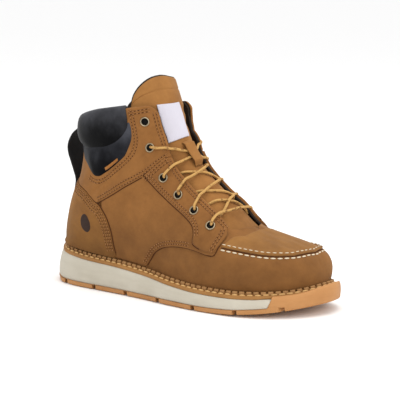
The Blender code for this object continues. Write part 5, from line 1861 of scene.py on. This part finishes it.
@dataclass
class Collar:
    """Padded roll, two pads, pull loop and the small tag."""

    pad: float = 5.0 * MM
    lip: float = 3.0 * MM
    wall: float = 2.2 * MM
    drop: float = 0.9496
    base: float = 2.0 * MM
    pad_under: float = 0.034
    loop_width: float = 22.0 * MM
    loop_thickness: float = 1.8 * MM
    loop_path: tuple = ((0.958, 6.6), (0.948, 11.0), (0.932, 17.5), (0.908, 22.0), (0.884, 21.5),
                        (0.864, 16.5), (0.847, 10.5), (0.832, 5.8), (0.816, 3.4))

    def roll(self, material: bpy.types.Material) -> None:
        """Build the roll over the collar's top edge."""
        last = ROLL[-1][0]

        def ring(around: float) -> Array:
            """The roll's section at one place round the collar."""
            share = abs(around)
            side = -1 if around < 0.0 else 1
            low = float(read(ROLL, 1, share))
            fill = 0.82 + 0.18 * float(ease((last - share) / 0.10))

            def on_wall(s: float, lift: float) -> Array:
                """A point off the wall."""
                w = side * (1.0 - (1.0 - float(FORM.throat(np.array(s)))) * share)
                return FORM.at_place(s, w, lift)

            top_w = side * (1.0 - (1.0 - float(FORM.throat(np.array(1.0)))) * share)
            edge = FORM.at_place(1.0, top_w, 0.0)
            rise = edge - FORM.at_place(0.985, top_w, 0.0)
            rise /= np.linalg.norm(rise)
            out = FORM.at_place(1.0, top_w, 1.0) - edge

            def over(up: float, lift: float) -> Array:
                """A point over the collar's edge."""
                return edge + rise * (up - 2.4 * MM * back) + out * lift

            back = float(ease((0.50 - share) / 0.35))
            pad = self.pad * fill * (1.0 + 0.60 * back)
            inside = -self.wall
            places = [
                on_wall(low + 0.002, 0.6 * MM), on_wall(low, self.base + 0.6 * MM),
                on_wall(low + 0.006, 0.82 * pad), on_wall(low + 0.3 * (0.985 - low), 1.06 * pad),
                on_wall(low + 0.65 * (0.985 - low), 1.08 * pad), on_wall(0.985, 0.92 * pad),
                over(0.75 * self.lip, 0.5 * pad), over(self.lip, -0.3 * self.wall),
                over(0.75 * self.lip, inside - 0.4 * pad), on_wall(0.985, inside - 0.62 * pad),
                on_wall(0.965, inside - 0.62 * pad), on_wall(self.drop, inside - 0.45 * pad),
                on_wall(self.drop, inside - 0.05 * pad), on_wall(0.975, inside + 0.4 * MM),
                over(-0.6 * MM, inside + 0.5 * MM), over(-0.6 * MM, -0.4 * MM),
            ]
            return np.array(places)

        bm = bmesh.new()
        loops = []
        for around in np.linspace(-last, last, 73):
            side = around if abs(around) > 1e-9 else 1e-9
            loops.append(ring_edges(bm, ring(-side)))
        for lower, upper in zip(loops, loops[1:]):
            bmesh.ops.bridge_loops(bm, edges=lower + upper)
        for edges in (loops[0], loops[-1]):
            bmesh.ops.edgenet_fill(bm, edges=edges)
        bmesh.ops.recalc_face_normals(bm, faces=bm.faces)
        piece = finish_mesh("padded_roll", bm, 180.0)
        declare(piece, [material], ["collar_roll"])
        smooth_it = piece.modifiers.new("soft", "SUBSURF")
        smooth_it.levels = 1
        smooth_it.render_levels = 1

    def pad_place(self, side: Side, a: Array, b: Array) -> tuple[Array, Array]:
        """Places of a pad: a from its lower to its upper edge, b from back to front."""
        low_s, low_w, top_s, top_w = (read(PAD, k, b) for k in (1, 2, 3, 4))
        top_s = top_s + self.pad_under
        return low_s + (top_s - low_s) * a, side.value * (low_w + (top_w - low_w) * a)

    def pad_lift(self, a: Array, b: Array) -> Array:
        """Height of a pad's pillow above the skin."""
        bulge = (np.sin(math.pi * np.clip(a, 0.0, 1.0)) ** 0.55
                 * np.sin(math.pi * np.clip(b, 0.0, 1.0)) ** 0.45)
        wrinkle = 0.25 * np.sin(b * 26.0 + a * 3.0) * np.sin(math.pi * a)
        return self.base - 0.4 * MM + (self.pad - self.base + 0.7 * MM + wrinkle * MM) * bulge

    def pads(self, side: Side, material: bpy.types.Material) -> None:
        """Build one pad."""
        def place(a: Array, b: Array) -> tuple[Array, Array]:
            """Places of the pad."""
            s, w = self.pad_place(side, a, b)
            return FORM.skin(s, w, self.pad_lift(a, b)), FORM.normal(s, w)

        name = "padded_panel_" + side.name.lower()
        piece = grid_mesh(name, crowded(41), crowded(61), place, (40.0, 70.0))
        declare(piece, [material], ["collar_pad_" + side.name.lower()])
        thicken(piece, 1.2 * MM)

    def tag(self, material: bpy.types.Material) -> None:
        """Build the small bare tag on the outer pad's lower edge."""
        def place(a: Array, b: Array) -> tuple[Array, Array]:
            """Places of the tag."""
            up = 0.06 + 0.11 * a
            along = 0.60 + 0.20 * b
            s, w = self.pad_place(Side.OUTER, up, along)
            crown = rounded(a, 0.006, 0.5 * MM) * rounded(b, 0.018, 0.5 * MM)
            return FORM.skin(s, w, self.pad_lift(up, along) + 1.1 * MM * crown), FORM.normal(s, w)

        piece = grid_mesh("small_tag", spread(0.006, 0.5 * MM, 5), spread(0.018, 0.5 * MM, 12),
                          place, (6.0, 18.0))
        declare(piece, [material], ["collar_tag"])
        thicken(piece, 0.4 * MM)

    def loop(self, material: bpy.types.Material) -> None:
        """Build the webbing pull loop."""
        points = [FORM.at_place(s, 1.0, lift * MM) for s, lift in self.loop_path]
        path = curve_through(points, 1.0 * MM)
        ahead = np.gradient(path, axis=0)
        out = np.stack([ahead[:, 2], np.zeros(len(path)), -ahead[:, 0]], -1)
        out /= np.linalg.norm(out, axis=1, keepdims=True)

        def place(a: Array, b: Array) -> tuple[Array, Array]:
            """Places of the webbing's outer face."""
            k = np.rint(a * (len(path) - 1)).astype(int)
            across = (b - 0.5) * self.loop_width
            face = 0.5 * self.loop_thickness
            flat = np.zeros_like(b)
            return path[k] - out[k] * face + np.stack([flat, across, flat], -1), -out[k]

        piece = grid_mesh("webbing_loop", np.linspace(0.0, 1.0, len(path)),
                          np.linspace(0.0, 1.0, 13), place, (len(path) * 1.0, 22.0))
        declare(piece, [material], ["pull_loop"])
        thicken(piece, self.loop_thickness)


# Tongue, label, keeper, eyelets and laces

@dataclass
class Front:
    """Tongue with its label and keeper, the eyelets and the laces."""

    tongue_depth: float = 3.6 * MM
    tongue_thickness: float = 5.0 * MM
    half_width: float = 34.0 * MM
    past: float = 0.18
    flare: float = 16.5 * MM
    rise: float = 25.5 * MM
    lean: float = 10.0 * MM
    lace_radius: float = 1.25 * MM
    seat_high: float = 2.0 * MM
    seat_low: float = 2.7 * MM

    def surface(self, step: Array, reach: Array, lift: Union[Array, float]) -> Array:
        """Outer surface of the tongue.

        Args:
            step: s up to the collar, running on past it.
            reach: signed distance from the ridge.
            lift: height above the tongue.

        Returns:
            The points.
        """
        step = np.asarray(step, float)
        reach = np.asarray(reach, float)
        point = FORM.at_reach(np.minimum(step, 1.0), reach, lift - self.tongue_depth)
        past = np.maximum(step - 1.0, 0.0) / self.past
        fall = (MM * np.interp(np.abs(reach) / MM, *zip(*TONGUE_FALL))
                + 2.6 * MM * ease((reach + 10.0 * MM) / (24.0 * MM)))
        lean = self.lean * (1.0 - np.minimum(np.abs(reach) / (50.0 * MM), 1.0) ** 2)
        shift = np.stack([-lean * past, 0.0 * past, (self.rise - fall) * past], -1)
        return point + shift

    def tongue(self, leather: bpy.types.Material, lining: bpy.types.Material) -> None:
        """Build the tongue, softly padded, with a dark lining."""
        first = FORM.throat_start - 0.022
        last = 1.0 + self.past

        def place(a: Array, b: Array) -> tuple[Array, Array]:
            """Places of the tongue."""
            step = first + (last - first) * a
            width = self.half_width * (0.80 + 0.20 * ease(2.0 * a))
            width = width + self.flare * ease((step - 0.86) / 0.12)
            reach = width * (2.0 * b - 1.0)
            edge = rounded(b, 0.068, 3.0 * MM)
            crown = rounded(np.maximum(a, 0.5), 0.150, 3.0 * MM)
            sag = 0.35 * MM * np.sin(step * 46.0 + 2.0 * b) * ease((step - 0.32) / 0.1)
            seam = -0.7 * MM * np.exp(-((step - 1.085 - 0.02 * b) / 0.006) ** 2)
            lift = 0.8 * MM * (edge * crown - 1.0) + sag * (step < 1.0) + seam
            return self.surface(step, reach, lift), FORM.normal(np.minimum(step, 1.0),
                                                                0.2 * (2.0 * b - 1.0))

        lines = np.linspace(0.0, 1.0, 150)
        piece = grid_mesh("padded_tongue", lines, spread(0.068, 2.0 * MM, 46), place,
                          (150.0, 68.0))
        declare(piece, [leather, lining], ["tongue"])
        thicken(piece, self.tongue_thickness - 1.5 * MM, inner=1, rim=1)
        width = self.half_width + self.flare
        rise = np.linspace(0.93, last, 20)
        across = np.linspace(-width, width, 60)[1:-1]
        steps = np.concatenate([rise, np.full(58, last), rise[::-1]])
        reach = np.concatenate([np.full(20, -width), across, np.full(20, width)])
        edge = tube_mesh("tongue_piping", self.surface(steps, reach, -1.9 * MM), 1.2 * MM, 8)
        declare(edge, [lining])

    def label(self, material: bpy.types.Material) -> None:
        """Build the bare woven label."""
        def place(a: Array, b: Array) -> tuple[Array, Array]:
            """Places of the label."""
            low = 0.605 + 0.020 * (1.0 - b) - 0.008 * np.sin(math.pi * b)
            step = low + (1.004 - 0.010 * (1.0 - b) - low) * a
            reach = (-24.2 + 27.0 * b) * MM
            crown = rounded(a, 0.036, 0.6 * MM) * rounded(b, 0.027, 0.6 * MM)
            normal = FORM.normal(np.minimum(step, 1.0), reach / 0.150)
            return self.surface(step, reach, 0.7 * MM + 0.8 * MM * crown), normal

        piece = grid_mesh("woven_label", spread(0.036, 0.6 * MM, 30), spread(0.027, 0.6 * MM, 22),
                          place, (36.0, 27.0))
        declare(piece, [material], ["tongue_label"])
        thicken(piece, 0.5 * MM)

    def keeper(self, material: bpy.types.Material) -> None:
        """Build the leather strip that holds the laces."""
        def place(a: Array, b: Array) -> tuple[Array, Array]:
            """Places of the strip."""
            step = 0.497 + 0.090 * a
            reach = 5.4 * MM * (2.0 * b - 1.0) - 4.2 * MM + 2.4 * MM * (1.0 - a)
            arch = ease(7.0 * np.minimum(a, 1.0 - a))
            crown = rounded(b, 0.014, 0.6 * MM)
            lift = 0.3 * MM + 4.2 * MM * arch + 1.0 * MM * crown
            return self.surface(step, reach, lift), FORM.normal(step, reach / 0.160)

        piece = grid_mesh("keeper_strip", np.linspace(0.0, 1.0, 41), spread(0.014, 0.6 * MM, 10),
                          place, (26.0, 14.0))
        declare(piece, [material], ["lace_keeper"])
        thicken(piece, 1.1 * MM)

    def eyelets(self, brass: bpy.types.Material, dark: bpy.types.Material) -> None:
        """Build the eyelet rings and the dark discs of painted shade in their holes."""
        rings = bmesh.new()
        hole_shades = bmesh.new()
        for side in Side:
            for index, (step, reach) in enumerate(EYELETS):
                seat = self.seat_high if index < 2 else self.seat_low
                w = side.value * reach * MM / float(FORM.girth(np.array(step), side.value))
                place = Vector(FORM.at_place(step, w, 0.0))
                axis = Vector(FORM.at_place(step, w, 1.0)) - place
                seat += float(FORM.dents(np.array(step), np.array(w)))
                turn = axis.to_track_quat("Z", "Y").to_matrix().to_4x4()
                turn.translation = place + axis * (seat + 0.25 * MM)
                edges = ring_edges(rings, [(radius * MM, 0.0, height * MM)
                                           for radius, height in EYELET_PROFILE])
                verts = list({vert for edge in edges for vert in edge.verts})
                bmesh.ops.spin(rings, geom=verts + edges, axis=(0, 0, 1), cent=(0, 0, 0),
                               angle=2.0 * math.pi, steps=24, use_merge=True)
                for vert in [vert for vert in rings.verts if not vert.tag]:
                    vert.co = turn @ vert.co
                    vert.tag = True
                # Dark disc of painted shade that stands for the shadowed hole
                bmesh.ops.create_circle(hole_shades, cap_ends=True, segments=24, radius=3.2 * MM,
                                        matrix=turn @ Matrix.Translation((0, 0, 0.05 * MM)))
        bmesh.ops.recalc_face_normals(rings, faces=rings.faces)
        nodes = ["eyelet_%s_%d" % (side.name.lower(), k + 1) for side in Side for k in range(6)]
        declare(finish_mesh("eyelet_rings", rings, 60.0), [brass], nodes)
        piece = finish_mesh("eyelet_bores", hole_shades)
        declare(piece, [dark])
        thicken(piece, 0.4 * MM)

    def strand(self, index: int, side: int, way: Sequence[tuple]) -> Array:
        """One strand as a smooth curve.

        Args:
            index: the eyelet it comes out of, counted from the collar, or -1 for none.
            side: sign of the side it starts on.
            way: places as s, millimetres from the ridge towards its own side, and lift.

        Returns:
            Points of the strand.
        """
        points = []
        if index >= 0:
            step, reach = EYELETS[index]
            seat = self.seat_high if index < 2 else self.seat_low
            points = [FORM.at_reach(step, side * (reach - 0.5) * MM, seat - 2.5 * MM),
                      FORM.at_reach(step, side * (reach - 1.2) * MM, seat + 0.5 * MM)]
        for s, reach, lift in way:
            w = side * reach * MM / FORM.girth(np.array(s), 1)
            stand_off = float(FORM.far_flap(np.array(s), w)) if lift > 2.5 else 0.0
            stand_off -= 1.6 * MM if side > 0 and lift > 2.5 else 0.0
            points.append(FORM.at_reach(s, side * reach * MM, lift * MM + stand_off))
        return curve_through(points, 1.1 * MM)

    def laces(self, cord: bpy.types.Material) -> None:
        """Build the bottom bar, the crossings and the strands under the keeper."""
        for node, runs in LACE_RUNS.items():
            tubes = [tube_mesh(node + "_strand", self.strand(index, side, way),
                               self.lace_radius, 10) for index, side, way in runs]
            declare(join_pieces(node + "_cord", tubes), [cord], [node])


# Studio

@dataclass
class Studio:
    """Floor, lights and the camera at the photograph's angle."""

    azimuth: float = 36.65
    elevation: float = 9.14
    distance: float = 1.42385
    target: tuple[float, float, float] = (0.00039, 0.01596, 0.08583)
    focal_pixels: float = 1534.64

    def floor(self) -> None:
        """Lay a plain pale floor."""
        bm = bmesh.new()
        bmesh.ops.create_grid(bm, x_segments=1, y_segments=1, size=60.0,
                              matrix=Matrix.Translation((0.0, 0.0, -0.0004)))
        piece = finish_mesh("floor", bm)
        paint = Paint("pale_floor")
        piece.data.materials.append(paint.set(Base_Color=(0.97, 0.97, 0.97), Roughness=0.9,
                                              Specular_IOR_Level=0.1))

    def light(self, name: str, place: tuple[float, float, float], size: float, power: float,
              color: Color = (1.0, 1.0, 1.0)) -> None:
        """Hang one soft area light that faces the boot.

        Args:
            name: the light's name.
            place: where it hangs.
            size: its side length.
            power: watts.
            color: its colour.
        """
        data = bpy.data.lights.new(name, "AREA")
        data.shape = "SQUARE"
        data.size = size
        data.energy = power
        data.color = color
        lamp = bpy.data.objects.new(name, data)
        lamp.location = place
        aim = Vector((0.0, 0.0, 0.07)) - Vector(place)
        lamp.rotation_euler = aim.to_track_quat("-Z", "Y").to_euler()
        bpy.context.scene.collection.objects.link(lamp)

    def camera(self) -> None:
        """Set the camera."""
        turn = math.radians(self.azimuth)
        lift = math.radians(self.elevation)
        back = Vector((math.sin(turn) * math.cos(lift), -math.cos(turn) * math.cos(lift),
                       math.sin(lift)))
        data = bpy.data.cameras.new("camera")
        data.sensor_width = 36.0
        data.sensor_fit = "HORIZONTAL"
        data.lens = 36.0 * self.focal_pixels / 400.0
        data.clip_end = 50.0
        eye = bpy.data.objects.new("camera", data)
        eye.location = Vector(self.target) + back * self.distance
        eye.rotation_euler = back.to_track_quat("Z", "Y").to_euler()
        bpy.context.scene.collection.objects.link(eye)
        bpy.context.scene.camera = eye

    def build(self) -> None:
        """Build the whole studio."""
        self.floor()
        self.light("overhead", (0.30, -0.10, 1.7), 1.3, 13.0, (1.0, 0.98, 0.95))
        self.light("front_right", (1.6, -0.4, 0.9), 0.8, 6.5, (1.0, 0.99, 0.97))
        world = bpy.data.worlds.new("studio")
        world.use_nodes = True
        world.node_tree.nodes["Background"].inputs[0].default_value = (1.0, 1.0, 1.0, 1.0)
        world.node_tree.nodes["Background"].inputs[1].default_value = 1.0
        bpy.context.scene.world = world
        bpy.context.scene.view_settings.view_transform = "Standard"
        self.camera()


def main() -> None:
    """Build every piece in order."""
    logging.basicConfig(level=logging.INFO, format="%(name)s %(message)s")
    nubuck = Nubuck("golden_nubuck", (0.290, 0.126, 0.036), (0.190, 0.078, 0.021)).material()
    # The tongue, apron and heel copies are lighter than the nubuck: partly the leather's own tone,
    # partly painted light on faces the light falls on; the heel copy also has deeper painted shade
    # near the sole
    golden = Nubuck("tongue_nubuck", (0.34, 0.155, 0.045), (0.230, 0.098, 0.027)).material()
    apron = Nubuck("apron_nubuck", (0.345, 0.163, 0.047), (0.240, 0.106, 0.029)).material()
    heel = Nubuck("heel_nubuck", (0.33, 0.148, 0.038), (0.205, 0.085, 0.021), 0.55).material()
    lining = Plain("dark_lining", (0.030, 0.022, 0.017)).material()
    # The black roll and pads run from painted shade at their lower heights to a painted highlight at
    # their upper heights
    roll = SmoothLeather("black_roll", (0.0012, 0.0012, 0.0016), (0.082, 0.083, 0.094),
                         0.138, 0.180).material()
    pad = SmoothLeather("black_pad", (0.0012, 0.0012, 0.0020), (0.060, 0.062, 0.074),
                        0.110, 0.158).material()
    gum = Rubber("gum_rubber_finish", (0.50, 0.245, 0.090), (0.37, 0.165, 0.055)).material()
    cream = Rubber("cream_foam_finish", (0.53, 0.49, 0.405), (0.44, 0.40, 0.32), 0.62).material()
    welt = Rubber("welt_finish", (0.36, 0.175, 0.052), (0.22, 0.096, 0.027), 0.6).material()
    teeth = Rubber("welt_teeth_finish", (0.38, 0.205, 0.080), (0.23, 0.105, 0.034), 0.6).material()
    webbing = Woven("black_webbing", (0.020, 0.019, 0.019), (0.004, 0.004, 0.004), 1.1).material()
    white = Woven("white_label", (0.62, 0.60, 0.66), (0.48, 0.46, 0.53), 0.5).material()
    foot_cloth = Woven("insole_cloth", (0.040, 0.038, 0.036), (0.016, 0.015, 0.014), 0.9).material()
    cord = Braid("golden_lace", (0.60, 0.345, 0.110), (0.14, 0.052, 0.015)).material()
    brass = AgedBrass("aged_brass", (0.50, 0.43, 0.30), (0.20, 0.14, 0.08)).material()
    # Near-black finish of the painted shade in the eyelet holes
    hole_shade_finish = Plain("dark_bore", (0.004, 0.0035, 0.003)).material()
    # Dark finish of the painted shade lines at the seams and the pieces' edges
    groove = Plain("groove_shadow", (0.075, 0.026, 0.008)).material()
    mark = Nubuck("dark_mark", (0.050, 0.028, 0.022), (0.026, 0.015, 0.013)).material()
    tan = Nubuck("tan_tag", (0.36, 0.150, 0.040), (0.25, 0.095, 0.024)).material()
    threads = {
        Thread.TONAL: ThreadFinish("tonal_thread_finish", (0.42, 0.185, 0.055)).material(),
        Thread.CREAM: ThreadFinish("cream_thread_finish", (0.78, 0.66, 0.48)).material(),
        Thread.GOLD: ThreadFinish("gold_thread_finish", (0.70, 0.42, 0.16)).material(),
    }
    Studio().build()
    book = StitchBook()
    sole = Sole()
    sole.outsole(gum)
    sole.midsole(cream)
    sole.insole(foot_cloth)
    rim = Welt()
    rim.strip(welt)
    rim.teeth(teeth)
    rim.stitches(book)
    upper = Upper()
    upper.shell(nubuck, lining)
    collar = Collar()
    for side in Side:
        upper.quarter(side, nubuck)
        upper.shaft(side, nubuck)
        upper.eyestay(side, nubuck)
        upper.counter(side, heel)
        collar.pads(side, pad)
    upper.apron(apron)
    upper.seams(book)
    upper.stamp(mark)
    collar.roll(roll)
    collar.tag(tan)
    collar.loop(webbing)
    front = Front()
    front.tongue(golden, lining)
    front.label(white)
    front.keeper(golden)
    front.eyelets(brass, hole_shade_finish)
    front.laces(cord)
    book.finish(threads, groove)


if __name__ == "__main__":
    main()
